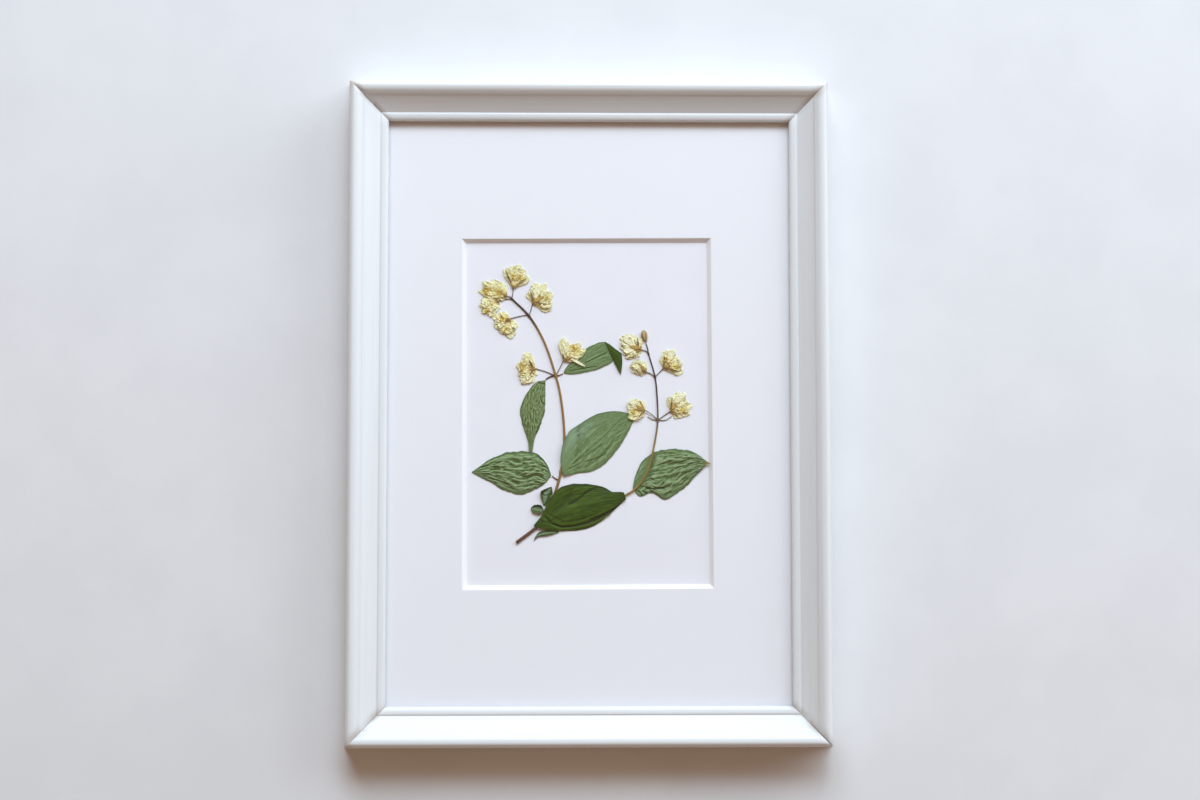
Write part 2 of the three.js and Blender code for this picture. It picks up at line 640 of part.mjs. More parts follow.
function leafBlade(leaf) {
  const { base, tip } = leaf;
  const axis = new THREE.Vector2(tip[0] - base[0], tip[1] - base[1]).normalize();
  const rim = (points, side) => rimCurve([
    [base[0] - side * 0.3 * axis.y, base[1] + side * 0.3 * axis.x],
    ...points,
    [tip[0] - side * 0.15 * axis.y, tip[1] + side * 0.15 * axis.x],
  ]);
  return sheetBetween(rim(leaf.right, -1), rim(leaf.left, 1), leaf.steps,
    (u, v, point) => leafHeight(leaf, u, v, point.x, point.y));
}

// The end of the top leaf, folded back over its blade along the line that the two rims start from.
function foldedTip() {
  const lying = (u) => flap.height - (flap.height - flap.foldHeight) * (1 - smooth(4 * u));
  return sheetBetween(rimCurve(flap.inner), rimCurve(flap.outer), [5, 4], lying);
}

for (const [name, leaf] of Object.entries(leaves)) {
  const blade = leafBlade(leaf);
  const geometry = name === 'leaf_top' ? fuse([blade, foldedTip()]) : blade;
  add(name, geometry, name === 'leaf_front' ? darkLeaf : paleLeaf, { at: [0, 0, sheetTop] });
}

// ---------------------------------------------------------------- flowers

// Outline of a flower round its heart: petal tips with a notch between each two, closed at the calyx.
function flowerRim({ calyx, petals }, [x, y]) {
  const around = (p, reach = 1) => new THREE.Vector3((p[0] - x) * reach, (p[1] - y) * reach, 0);
  const rim = [around(calyx)];
  petals.forEach((tip, i) => {
    rim.push(around(tip));
    const next = petals[i + 1];
    if (next) rim.push(around([(tip[0] + next[0]) / 2, (tip[1] + next[1]) / 2], petalNotch));
  });
  if (THREE.ShapeUtils.area(rim) < 0) rim.reverse();
  return new THREE.CatmullRomCurve3(rim, true, 'catmullrom', 0.35);
}

// A dried flower: crumpled petals fused round its heart, with a crease between each two.
function flowerHead(flower, seed) {
  const low = 0.04 + (flower.lift ?? 0);
  const crown = flowerTop - low;
  const rim = flowerRim(flower, heartOf(flower));
  const creases = flower.petals.length;
  const sectors = creases * 2 * 2;
  const rings = 4;
  const random = seeded(seed);
  const points = [new THREE.Vector3(0, 0, low + crown * 0.75), new THREE.Vector3(0, 0, low)];
  for (let ring = 1; ring <= rings; ring += 1) {
    const q = ring / rings;
    for (let k = 0; k < sectors; k += 1) {
      const edge = rim.getPoint(k / sectors);
      const petal = 0.5 - 0.5 * Math.cos((2 * Math.PI * creases * k) / sectors);
      const crumple = 0.75 * (random() - 0.5);
      const rise = ring === rings ? 0.2 : 0.85 - 0.6 * q + 0.4 * petal * q + crumple;
      const reach = ring === rings ? 1 : q * (1 + 0.15 * (random() - 0.5));
      const z = low + crown * Math.min(1, Math.max(0.2, rise));
      points.push(edge.multiplyScalar(reach).setZ(z));
    }
  }
  points.push(...points.slice(-sectors).map((p) => new THREE.Vector3(p.x * 0.96, p.y * 0.96, low)));
  const triangles = [];
  const at = (ring, k) => 2 + (ring - 1) * sectors + (k % sectors);
  for (let k = 0; k < sectors; k += 1) {
    triangles.push(0, at(1, k), at(1, k + 1), 1, at(rings + 1, k + 1), at(rings + 1, k));
    for (let ring = 1; ring <= rings; ring += 1) {
      triangles.push(at(ring, k), at(ring + 1, k), at(ring + 1, k + 1));
      triangles.push(at(ring, k), at(ring + 1, k + 1), at(ring, k + 1));
    }
  }
  return fromPoints(points, triangles);
}

Object.entries(flowers).forEach(([name, flower], i) => {
  add(name, flowerHead(flower, i + 3), creamPetal, { at: [...heartOf(flower), sheetTop] });
});

// Unopened bud, pressed flat: narrow at its foot, widest and rounded near the top.
function budDrop() {
  const length = Math.hypot(bud.tip[0] - bud.foot[0], bud.tip[1] - bud.foot[1]);
  const profile = [];
  const rings = 7;
  for (let i = 0; i <= rings; i += 1) {
    const t = i / rings;
    const radius = i === 0 || i === rings ? 0 : 0.5 * Math.sin(Math.PI * t ** 1.5) ** 0.6;
    profile.push(new THREE.Vector2(radius, t * length));
  }
  const drop = new THREE.LatheGeometry(profile, 10);
  return drop.scale(bud.width, 1, bud.height);
}
add('bud', budDrop(), tanBud, {
  at: [...bud.foot, sheetTop + bud.height / 2 + 0.05],
  turn: Math.atan2(bud.tip[1] - bud.foot[1], bud.tip[0] - bud.foot[0]) - Math.PI / 2,
});

export default root;
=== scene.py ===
# %% [markdown]
# # A pressed flower in a white picture frame
# This lesson dresses a finished CAD model of a small picture frame: white painted
# moulding, glass, a window mat, a white card, and a pressed sprig of twelve double
# flowers, a bud and nine leaves. The CAD model gives every size and place. Here each
# piece gets its fine shape and its finish.

import math

import bmesh
import bpy
import numpy as np
from mathutils import Matrix, Vector, noise


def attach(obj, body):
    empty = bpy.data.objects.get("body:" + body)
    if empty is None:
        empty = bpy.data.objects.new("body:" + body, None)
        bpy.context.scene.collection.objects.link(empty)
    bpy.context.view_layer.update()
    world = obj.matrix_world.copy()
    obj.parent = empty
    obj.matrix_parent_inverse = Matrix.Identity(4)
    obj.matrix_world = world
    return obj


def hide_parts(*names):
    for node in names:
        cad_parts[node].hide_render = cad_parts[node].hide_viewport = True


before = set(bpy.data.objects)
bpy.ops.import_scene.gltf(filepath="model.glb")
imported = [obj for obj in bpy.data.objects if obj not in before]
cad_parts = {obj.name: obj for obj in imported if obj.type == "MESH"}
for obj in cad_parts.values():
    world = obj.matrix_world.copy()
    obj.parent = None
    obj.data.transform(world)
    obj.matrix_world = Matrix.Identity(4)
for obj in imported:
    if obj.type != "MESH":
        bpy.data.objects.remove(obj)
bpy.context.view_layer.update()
MM = 0.001

# %% [markdown]
# ## The camera
# The frame lies on its back and is seen from straight above, about four centimetres below
# its middle, with a normal 50 mm lens. The camera isn't quite level: it leans 3.4 degrees,
# so the frame's outer sides show all round, most at the top. A camera's axes are the
# columns of its rotation: right, up, and backwards out of the picture.

# %% Camera
CAMERA_AT = Vector((-8.52, -43.84, 835.98)) * MM
CAMERA_RIGHT = Vector((0.99986, -0.0006, 0.01677)).normalized()
CAMERA_BACK = CAMERA_RIGHT.cross(Vector((-0.0004, 0.99821, 0.05988))).normalized()
CAMERA_UP = CAMERA_BACK.cross(CAMERA_RIGHT)

camera = bpy.data.objects.new("camera", bpy.data.cameras.new("camera"))
camera.data.lens, camera.data.sensor_width = 50, 36
camera.data.clip_start, camera.data.clip_end = 0.02, 20
camera.matrix_world = (
    Matrix.Translation(CAMERA_AT)
    @ Matrix((CAMERA_RIGHT, CAMERA_UP, CAMERA_BACK)).transposed().to_4x4()
)
bpy.context.scene.collection.objects.link(camera)
bpy.context.scene.camera = camera

# %% [markdown]
# ## Light and floor
# Soft light comes from three windows beyond the frame's top edge, from the left round to
# the right; a glowing disk stands for each. It makes the inner slope of the bottom rail
# bright, that of the top rail grey, and casts soft shadows below and to the left. The
# daylight is cool and the weak light from the rest of the room is warm, so shadows turn
# brownish. The plain "Standard" view keeps whites as bright as they are.

# %% Light, world and floor
WINDOW_DISTANCE = 2.6
WINDOWS = {                       # direction towards it (right, top, up), watts, size, colour
    "window_left": ((-0.15, 1.25, 1.0), 45.0, 1.5, (0.71, 0.863, 1.0)),
    "window_middle": ((0.3, 1.0, 1.0), 31.0, 1.3, (0.66, 0.835, 1.0)),
    "window_right": ((2.0, 1.3, 1.0), 40.0, 2.0, (0.787, 0.89, 1.0)),
}
ROOM_COLOUR = (0.285, 0.18, 0.115)


def soft_light(name, direction, distance, size, power, colour):
    lamp = bpy.data.lights.new(name, "AREA")
    lamp.shape, lamp.size, lamp.energy, lamp.color = "DISK", size, power, colour
    lamp_object = bpy.data.objects.new(name, lamp)
    direction = Vector(direction).normalized()
    lamp_object.location = direction * distance
    lamp_object.rotation_mode = "QUATERNION"
    lamp_object.rotation_quaternion = direction.to_track_quat("Z", "Y")
    bpy.context.scene.collection.objects.link(lamp_object)
    return lamp_object


for name, (direction, power, size, colour) in WINDOWS.items():
    soft_light(name, direction, WINDOW_DISTANCE, size, power, colour)
world = bpy.data.worlds.new("room")
world.use_nodes = True
world.node_tree.nodes["Background"].inputs["Color"].default_value = (*ROOM_COLOUR, 1)
bpy.context.scene.world = world
bpy.context.scene.view_settings.view_transform = "Standard"

# %% [markdown]
# ## Helpers for materials
# Every finish is a small node network. `shader_node` makes one node, sets its numbers and
# links its sockets in one call; the short helpers after it name the nodes that come up
# again and again. So a network reads like a sentence.

# %% One node in one call
def shader_node(tree, kind, sockets=(), **settings):
    """Adds a node; `sockets` maps an input to a number, a colour or another node's output."""
    made = tree.nodes.new("ShaderNode" + kind)
    for key, value in settings.items():
        setattr(made, key, value)
    for key, value in dict(sockets).items():
        if isinstance(value, bpy.types.NodeSocket):
            tree.links.new(value, made.inputs[key])
        else:
            made.inputs[key].default_value = value
    return made


def new_material(name, **constants):
    """A material with one Principled BSDF; the constants are set on its own sockets."""
    material = bpy.data.materials.new(name)
    material.use_nodes = True
    shader = material.node_tree.nodes["Principled BSDF"]
    for key, value in constants.items():
        shader.inputs[key.replace("_", " ")].default_value = value
    return material, material.node_tree, shader


def rgb(*parts):
    return (*parts, 1.0)


def maths(tree, operation, *values, clamp=False):
    return shader_node(tree, "Math", enumerate(values), operation=operation, use_clamp=clamp).outputs[0]


def times(tree, value, factor):
    return maths(tree, "MULTIPLY", value, factor)


def ramp(tree, value, start, end, low=0.0, high=1.0):
    """Goes from `low` to `high` while the value goes from `start` to `end`."""
    return shader_node(tree, "MapRange", {"Value": value, "From Min": start, "From Max": end,
                                          "To Min": low, "To Max": high}).outputs[0]


def mix_colours(tree, share, first, second):
    return shader_node(tree, "Mix", {0: share, 6: first, 7: second}, data_type="RGBA").outputs[2]


def vertex_value(tree, name):
    return shader_node(tree, "Attribute", attribute_name=name).outputs["Fac"]


def value_plane(tree, first, second):
    """A plane to lay a texture on, spanned by two of the values stored on the mesh."""
    spans = enumerate([vertex_value(tree, first), vertex_value(tree, second)])
    return shader_node(tree, "CombineXYZ", spans).outputs[0]


def place_on_object(tree):
    return shader_node(tree, "TexCoord").outputs["Object"]


def finished(material, shader, colour, height, depth, strength):
    """Gives the shader its colour and a relief of the given depth in metres."""
    tree = material.node_tree
    relief = shader_node(tree, "Bump", {"Height": height, "Distance": depth, "Strength": strength})
    tree.links.new(colour, shader.inputs["Base Color"])
    tree.links.new(relief.outputs[0], shader.inputs["Normal"])
    return material


print("material helpers ready")

# %% [markdown]
# ## Shared effects
# Two effects return in many finishes, so each is built once as a node group. `mottling`
# drifts slowly between two colours, as paper, wood and dried leaves do. `surface_grain`
# gives a fine height and mask, stretched by the scale vector: even for paper, long and
# thin for brushed paint or bark.

# %% Node groups
def group_tree(name, inputs, outputs):
    """A node group whose sockets are given by name and kind, with its two ends."""
    tree = bpy.data.node_groups.new(name, "ShaderNodeTree")
    for way, sockets in (("INPUT", inputs), ("OUTPUT", outputs)):
        for title, kind in sockets.items():
            tree.interface.new_socket(title, in_out=way, socket_type="NodeSocket" + kind)
    return tree, tree.nodes.new("NodeGroupInput").outputs, tree.nodes.new("NodeGroupOutput").inputs


def mottling_group():
    tree, given, out = group_tree(
        "mottling",
        {"Vector": "Vector", "Scale": "Float", "Low": "Float", "High": "Float", "First": "Color",
         "Second": "Color"},
        {"Color": "Color", "Mask": "Float"},
    )
    cloud = shader_node(tree, "TexNoise", {"Vector": given["Vector"], "Scale": given["Scale"],
                                           "Detail": 4.0, "Roughness": 0.6})
    mask = shader_node(tree, "MapRange", {"Value": cloud.outputs["Fac"], "From Min": given["Low"],
                                          "From Max": given["High"]}, interpolation_type="SMOOTHSTEP")
    mixed = mix_colours(tree, mask.outputs[0], given["First"], given["Second"])
    tree.links.new(mixed, out["Color"])
    tree.links.new(mask.outputs[0], out["Mask"])
    return tree


def grain_group():
    tree, given, out = group_tree("surface_grain", {"Vector": "Vector", "Scale": "Vector", "Detail": "Float"},
                                  {"Height": "Float", "Streak": "Float"})
    placed = shader_node(tree, "VectorMath", {0: given["Vector"], 1: given["Scale"]},
                         operation="MULTIPLY")
    fine = shader_node(tree, "TexNoise", {"Vector": placed.outputs[0], "Scale": 1.0,
                                          "Detail": given["Detail"], "Roughness": 0.65})
    tree.links.new(fine.outputs["Fac"], out["Height"])
    tree.links.new(ramp(tree, fine.outputs["Fac"], 0.3, 0.7), out["Streak"])
    return tree


MOTTLING, GRAIN = mottling_group(), grain_group()


def mottled(tree, vector, scale, first, second, low=0.35, high=0.65):
    return shader_node(tree, "Group", {"Vector": vector, "Scale": scale, "Low": low, "High": high,
                                       "First": first, "Second": second}, node_tree=MOTTLING)


def grain(tree, vector, scale, detail=3.0):
    return shader_node(tree, "Group", {"Vector": vector, "Scale": scale, "Detail": detail},
                       node_tree=GRAIN)


print("node groups:", [g.name for g in bpy.data.node_groups])

# %% [markdown]
# ## The floor
# A plain pale surface. It only has to catch the shadow, so it stays quiet.

# %% Floor
FLOOR_HALF, FLOOR_DROP = 1.5, 0.0002       # metres; the drop keeps it clear of the frame's foot
CORNERS = ((-1, -1), (1, -1), (1, 1), (-1, 1))


def floor_finish():
    material, tree, shader = new_material("floor_plaster", Roughness=0.9)
    colour = mottled(tree, place_on_object(tree), 14.0, rgb(0.785, 0.785, 0.785), rgb(0.755, 0.755, 0.757))
    tree.links.new(colour.outputs["Color"], shader.inputs["Base Color"])
    return material


def flat_floor():
    mesh = bpy.data.meshes.new("floor")
    corners = [(x * FLOOR_HALF, y * FLOOR_HALF, -FLOOR_DROP) for x, y in CORNERS]
    mesh.from_pydata(corners, [], [(0, 1, 2, 3)])
    mesh.materials.append(floor_finish())
    floor = bpy.data.objects.new("floor", mesh)
    bpy.context.scene.collection.objects.link(floor)
    return floor


flat_floor()
print("floor in place")

# %% [markdown]
# ## Helpers for meshes
# Every piece is a mesh written point by point, in millimetres, like the CAD model. Numbers
# that belong to a point, such as how deep it lies in a wrinkle, are stored on the mesh as
# attributes, and the materials read them.

# %% Make a piece and seat it on the frame
def new_piece(name, points, faces, material, slot, replaces=(), sharp=None, uv=None, **values):
    """A smooth-shaded mesh from points in mm; `values` become one attribute each."""
    mesh = bpy.data.meshes.new(name)
    mesh.from_pydata((np.asarray(points, float) * MM).tolist(), [], faces)
    for key, value in values.items():
        layer = mesh.attributes.new(key, "FLOAT", "POINT")
        layer.data.foreach_set("value", np.asarray(value, np.float32).ravel())
    if uv is not None:
        layer = mesh.uv_layers.new(name="run")
        corners = np.empty(len(mesh.loops), np.int32)
        mesh.loops.foreach_get("vertex_index", corners)
        layer.data.foreach_set("uv", np.asarray(uv, np.float32)[corners].ravel())
    shape = bmesh.new()
    shape.from_mesh(mesh)
    bmesh.ops.recalc_face_normals(shape, faces=shape.faces)
    shape.to_mesh(mesh)
    shape.free()
    mesh.shade_smooth()
    if sharp is not None:
        mesh.set_sharp_from_angle(angle=math.radians(sharp))
    mesh.materials.append(material)
    piece = bpy.data.objects.new(name, mesh)
    bpy.context.scene.collection.objects.link(piece)
    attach(piece, "root")
    if replaces:
        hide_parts(*replaces)
    return piece


def smooth(t):
    s = np.clip(t, 0.0, 1.0)
    return s * s * (3 - 2 * s)


def close_to(value, at, reach):
    """1 where the value is `at`, falling softly to 0 on both sides."""
    return np.exp(-(((value - at) / reach) ** 2))


def turned(x, y, angle):
    """The point or points (x, y), turned about the origin."""
    c, s = math.cos(angle), math.sin(angle)
    return c * x - s * y, s * x + c * y


def ring_faces(rings, around, closed=False):
    """Quads between neighbouring rings of points; `closed` joins the last ring to the first."""
    corners = ((0, 0), (0, 1), (1, 1), (1, 0))
    return [[(i + a) % rings * around + (k + b) % around for a, b in corners]
            for i in range(rings if closed else rings - 1) for k in range(around)]


def flowing_line(points, count, steps=40):
    """`count` evenly spaced points on a smooth curve through the given ones."""
    p = np.asarray(points, float)
    p = np.vstack([2 * p[0] - p[1], p, 2 * p[-1] - p[-2]])
    t = np.linspace(0, 1, steps, endpoint=False)[:, None]
    parts = []
    for p0, p1, p2, p3 in zip(p, p[1:], p[2:], p[3:]):
        d1, d2, d3 = (np.linalg.norm(b - a) ** 0.5 for a, b in ((p0, p1), (p1, p2), (p2, p3)))
        leave = ((p1 - p0) / d1 - (p2 - p0) / (d1 + d2) + (p2 - p1) / d2) * d2
        arrive = ((p2 - p1) / d2 - (p3 - p1) / (d2 + d3) + (p3 - p2) / d3) * d2
        parts.append((2 * t**3 - 3 * t**2 + 1) * p1 + (t**3 - 2 * t**2 + t) * leave
                     + (3 * t**2 - 2 * t**3) * p2 + (t**3 - t**2) * arrive)
    line = np.vstack([*parts, p[-2]])
    run = np.concatenate([[0], np.cumsum(np.linalg.norm(np.diff(line, axis=0), axis=1))])
    at = np.linspace(0, run[-1], count)
    return np.stack([np.interp(at, run, column) for column in line.T], axis=1)


def noise_over(a, b, seed, octaves=3):
    """Smooth noise for every point of a grid, from about -1 to 1."""
    places = zip(np.ravel(a), np.ravel(b))
    flat = [noise.fractal(Vector((p, q, seed)), 1.0, 2.0, octaves) for p, q in places]
    return np.reshape(flat, np.shape(a))


print("helpers ready")

# %% [markdown]
# ## The moulding
# Four lengths of the same wooden section meet in mitres. Going outward the section has a
# rounded lip bead, a groove, a cove that climbs, a quirk, a rounded crown and a side that
# flares out to the foot. It is drawn once with curves and carried along each rail. A rail's
# ends are cut at 45 degrees by letting a point's reach grow with its distance from the
# sight edge. The very ends are eased inward a little, so that a fine line shows where two
# painted rails meet. At the bottom right corner the joint has opened outward.

# %% The section of the moulding
SIGHT_X, SIGHT_Y = 99.75, 144.75
LIP_UNDERSIDE, LIP_TOP, LIP_WIDTH = 13.0, 15.5, 3.8
COVE_WIDTH, COVE_TOP = 11.5, 20.1
CROWN_AT, CROWN_TOP = 16.1, 22.8
SHOULDER = (18.9, 19.6)
RAIL_WIDTH, REBATE = 21.5, 6.25


def bent(*control, count=14):
    """Points on a Bezier curve, without its first one."""
    t = np.linspace(0, 1, count + 1)[1:, None]
    points = [np.asarray(p, float) for p in control]
    while len(points) > 1:
        points = [(1 - t) * a + t * b for a, b in zip(points, points[1:])]
    return points[0].tolist()


def moulding_section():
    section = [(0, LIP_UNDERSIDE), (0, LIP_UNDERSIDE + 0.5), (0, LIP_UNDERSIDE + 0.9)]
    section += bent(section[-1], (0.15, LIP_TOP - 0.6), (1.3, LIP_TOP - 0.05), (LIP_WIDTH - 0.9, LIP_TOP))
    section += bent(section[-1], (LIP_WIDTH - 0.3, LIP_TOP), (LIP_WIDTH, LIP_TOP - 0.25))
    section += bent(section[-1], (LIP_WIDTH + 0.25, LIP_TOP - 0.3), count=4)
    section += bent(section[-1], (COVE_WIDTH - 3.6, LIP_TOP + 1.7), (COVE_WIDTH, COVE_TOP), count=26)
    section += bent(section[-1], (COVE_WIDTH + 0.45, COVE_TOP + 0.65), count=4)
    section += bent(section[-1], (CROWN_AT - 2.7, CROWN_TOP - 0.85), count=4)
    section += bent(section[-1], (CROWN_AT - 1.55, CROWN_TOP), (CROWN_AT, CROWN_TOP))
    section += bent(section[-1], (CROWN_AT + 1.3, CROWN_TOP),
                    (SHOULDER[0] - 0.4, SHOULDER[1] + 1.9), SHOULDER)
    section += bent(section[-1], (SHOULDER[0] + 0.5, 12), (RAIL_WIDTH - 1.9, 5), (RAIL_WIDTH, 0), count=24)
    section += [(x, 0) for x in (16, 11, REBATE)]
    section += [(REBATE, z) for z in (4, 9, LIP_UNDERSIDE)]
    section += [(3, LIP_UNDERSIDE)]
    return np.array(section)


section = moulding_section()
print("points in the section:", len(section))

# %% Carry the section along a rail
EASE = ((0.0, 0.08), (0.03, 0.03), (0.09, 0.0))   # along the rail, and inward, at its ends
STATIONS = 60
JOINT, OPENED = 0.03, 0.65         # half a closed joint, and how far an open one has moved
SEAM_REACH, RUN_SHIFT = 0.45, 400  # how far the browning reaches from a joint; parts the rails' grain
QUIRK = (COVE_WIDTH + 0.35, 0.45)  # where painted shade darkens the hollows: middle and reach, outward
GROOVE = (LIP_WIDTH + 0.1, 0.35)


def rail_points(half_sight, gap):
    """Rings of points from one mitred end to the other; x runs along the rail, y outward."""
    before, after = np.roll(section, 1, axis=0), np.roll(section, -1, axis=0)
    way = after - before
    inward = np.stack([way[:, 1], -way[:, 0]], axis=1) / np.linalg.norm(way, axis=1)[:, None]
    rings = []
    reach = half_sight + section[:, 0]
    for end in (-1, 1):
        cuts = [(reach - gap(end, section[:, 0]) - back, section + inward * ease) for back, ease in EASE]
        rings.append([np.column_stack([end * x, ring]) for x, ring in cuts])
    first, last = rings[0], rings[1][::-1]
    middle = [first[-1] * (1 - t) + last[0] * t for t in np.linspace(0, 1, STATIONS + 1)[1:-1]]
    return np.array([*first, *middle, *last])


def rail_mesh(side, half_sight, place, turn, opened, paint):
    """One rail; `opened` says which of its ends has an open joint."""
    def gap(end, outward):
        return JOINT + (OPENED * np.clip(outward / RAIL_WIDTH, 0, 1) ** 3 if end == opened else 0.0)

    rings = rail_points(half_sight, gap)
    count, around = rings.shape[:2]
    along, outward, height = rings.reshape(-1, 3).T
    x, y = turned(along, outward, turn)
    points = np.column_stack([x + place[0], y + place[1], height])
    faces = ring_faces(count, around)
    faces += [list(range(around)), list(range((count - 1) * around, count * around))]
    steps = np.linalg.norm(np.diff(section, axis=0), axis=1)
    across = np.tile(np.concatenate([[0], np.cumsum(steps)]), count)
    run = np.column_stack([(along + RUN_SHIFT * turn) * MM, across * MM])
    # `quirk` marks the quirk and the groove by the lip, which the paint darkens with painted shade.
    hollows = np.maximum(close_to(outward, *QUIRK), close_to(outward, *GROOVE))
    return new_piece("moulding_" + side, points, faces, paint, "paint", ["rail_" + side], sharp=38, uv=run,
                     seam=np.exp((np.abs(along) - half_sight - outward) / SEAM_REACH),
                     quirk=hollows * (height > LIP_UNDERSIDE + 1))


print("rings along a rail:", STATIONS + 2 * len(EASE) - 1)

# %% [markdown]
# ### White brushed paint
# The paint is satin and slightly uneven. A brush leaves fine lines along the rail, so the
# grain follows the mesh's own "run" coordinates: along the rail and round the section. It
# turns browner in patches towards the mitres, and a grey-brown painted shade darkens the
# quirk and the groove by the lip.

# %% Paint
def white_paint():
    material, tree, shader = new_material("white_satin_paint", Roughness=0.42)
    run = shader_node(tree, "UVMap", uv_map="run").outputs[0]
    brush = grain(tree, run, (22.0, 2600.0, 1.0), 4.0)
    broad = grain(tree, run, (9.0, 420.0, 1.0))
    base = mix_colours(tree, brush.outputs["Streak"], rgb(0.725, 0.737, 0.732), rgb(0.77, 0.782, 0.777))
    base = mix_colours(tree, broad.outputs["Streak"], base, rgb(0.78, 0.797, 0.795))
    patch = mottled(tree, run, 60.0, rgb(0, 0, 0), rgb(1, 1, 1), 0.42, 0.62)
    # Browner in patches towards the mitres.
    mitre_browning = times(tree, vertex_value(tree, "seam"), patch.outputs["Mask"])
    base = mix_colours(tree, mitre_browning, base, rgb(0.50, 0.42, 0.35))
    # Painted shade: the quirk and the groove by the lip are darkened towards grey-brown.
    painted_hollow_shade = times(tree, vertex_value(tree, "quirk"), 0.15)
    base = mix_colours(tree, painted_hollow_shade, base, rgb(0.55, 0.51, 0.47))
    gloss = ramp(tree, brush.outputs["Height"], 0.0, 1.0, 0.36, 0.52)
    tree.links.new(gloss, shader.inputs["Roughness"])
    both = maths(tree, "ADD", brush.outputs["Height"], broad.outputs["Height"])
    return finished(material, shader, base, both, 0.00006, 0.6)


paint = white_paint()
print("nodes in the paint:", len(paint.node_tree.nodes))

# %% Four rails
rails = {                          # half the sight edge, place of its middle, turn, open end
    "top": (SIGHT_X, (0, SIGHT_Y), 0, None),
    "left": (SIGHT_Y, (-SIGHT_X, 0), math.pi / 2, None),
    "bottom": (SIGHT_X, (0, -SIGHT_Y), math.pi, -1),
    "right": (SIGHT_Y, (SIGHT_X, 0), -math.pi / 2, 1),
}
for side, facts in rails.items():
    rail = rail_mesh(side, *facts, paint)
    print(rail.name, len(rail.data.polygons), "faces")

# %% [markdown]
# ## The window mat
# A white board with a window cut by a leaning blade, so a white bevel runs round the
# opening. The mat is one closed ring: the section of its edge is repeated at the four
# corners. The cut shows the board's raw core, a little whiter than its face, and the knife
# leaves the top arris faintly rounded. It was laid in slightly askew.

# %% Mat
MAT_HALF = (103.5, 148.5)
WINDOW_HALF = (60.0, 85.0)
SHEET_TOP, MAT_TOP = 9.0, 11.0
BEVEL, ARRIS = 1.84, 0.36          # widths of the cut and of its rounded upper edge
CLEAR = 0.002                      # keeps the mat's faces off its neighbours
MAT_SHIFT, MAT_TURN = (-0.9, -0.7), 0.0051


def mat_section():
    """(distance outward from the window's foot, height, how much of the core shows)."""
    cut = [(t, SHEET_TOP + t, 1.0) for t in np.linspace(0.0, BEVEL, 5)]
    arris = ((0.1, 0.075, 0.8), (0.19, 0.02, 0.4), (0.32, CLEAR, 0.0))
    return cut + [(BEVEL + further, MAT_TOP - below, core) for further, below, core in arris]


def window_mat(material):
    loops = [(WINDOW_HALF[0] + d, WINDOW_HALF[1] + d, z, core) for d, z, core in mat_section()]
    inner = [half + BEVEL + ARRIS for half in WINDOW_HALF]
    for share in (0.02, 0.2, 0.5, 0.8, 1.0):
        x, y = (a + share * (b - a) for a, b in zip(inner, MAT_HALF))
        loops.append((x, y, MAT_TOP - CLEAR, 0.0))
    loops.append((*MAT_HALF, SHEET_TOP + CLEAR, 0.0))
    points, cores = [], []
    for x, y, z, core in loops:
        for sx, sy in CORNERS:
            px, py = turned(sx * x, sy * y, MAT_TURN)
            points.append((px + MAT_SHIFT[0], py + MAT_SHIFT[1], max(z, SHEET_TOP + CLEAR)))
            cores.append(core)
    faces = ring_faces(len(loops), len(CORNERS), closed=True)
    return new_piece("window_mat", points, faces, material, "mat", ["mat_board"], sharp=30, core=cores)


def mat_finish():
    material, tree, shader = new_material("white_mat_board", Roughness=0.95)
    place = place_on_object(tree)
    tooth = grain(tree, place, (2400.0, 1500.0, 1500.0), 4.0)
    face = mottled(tree, place, 90.0, rgb(0.885, 0.89, 0.92), rgb(0.87, 0.875, 0.905))
    face = mix_colours(tree, tooth.outputs["Streak"], face.outputs["Color"], rgb(0.90, 0.905, 0.93))
    colour = mix_colours(tree, vertex_value(tree, "core"), face, rgb(0.90, 0.905, 0.92))
    return finished(material, shader, colour, tooth.outputs["Height"], 0.00007, 0.8)


mat = window_mat(mat_finish())
print("mat points:", len(mat.data.vertices))

# %% [markdown]
# ## Card, hardboard, sheet metal and glass
# These pieces are simple in shape, so the CAD solids stay and get finishes. Card is a finer
# paper. Hardboard is pressed brown fibre. The tabs, hanger and rivets are zinc-plated
# steel with faint rolling lines. Their edges get a small rounding from a bevel modifier.

# %% Finishes of the plain pieces
def card_finish():
    material, tree, shader = new_material("white_card", Roughness=0.9)
    place = place_on_object(tree)
    tooth = grain(tree, place, (3600.0, 3600.0, 3600.0))
    face = mottled(tree, place, 40.0, rgb(0.885, 0.885, 0.92), rgb(0.87, 0.87, 0.905))
    return finished(material, shader, face.outputs["Color"], tooth.outputs["Height"], 0.00003, 0.6)


def hardboard_finish():
    material, tree, shader = new_material("brown_hardboard", Roughness=0.75)
    place = place_on_object(tree)
    fibre = grain(tree, place, (900.0, 2600.0, 2600.0), 6.0)
    speck = mottled(tree, place, 700.0, rgb(0.40, 0.27, 0.16), rgb(0.24, 0.15, 0.085), 0.4, 0.7)
    colour = mix_colours(tree, fibre.outputs["Streak"], speck.outputs["Color"], rgb(0.46, 0.33, 0.21))
    return finished(material, shader, colour, fibre.outputs["Height"], 0.0002, 0.7)


def zinc_finish():
    material, tree, shader = new_material("zinc_plated_steel", Metallic=1.0)
    place = place_on_object(tree)
    rolled = grain(tree, place, (150.0, 4200.0, 4200.0), 4.0)
    colour = mottled(tree, place, 240.0, rgb(0.62, 0.62, 0.61), rgb(0.50, 0.50, 0.50), 0.3, 0.7)
    gloss = ramp(tree, rolled.outputs["Height"], 0.0, 1.0, 0.25, 0.5)
    tree.links.new(gloss, shader.inputs["Roughness"])
    return finished(material, shader, colour.outputs["Color"], rolled.outputs["Height"], 0.00003, 0.6)


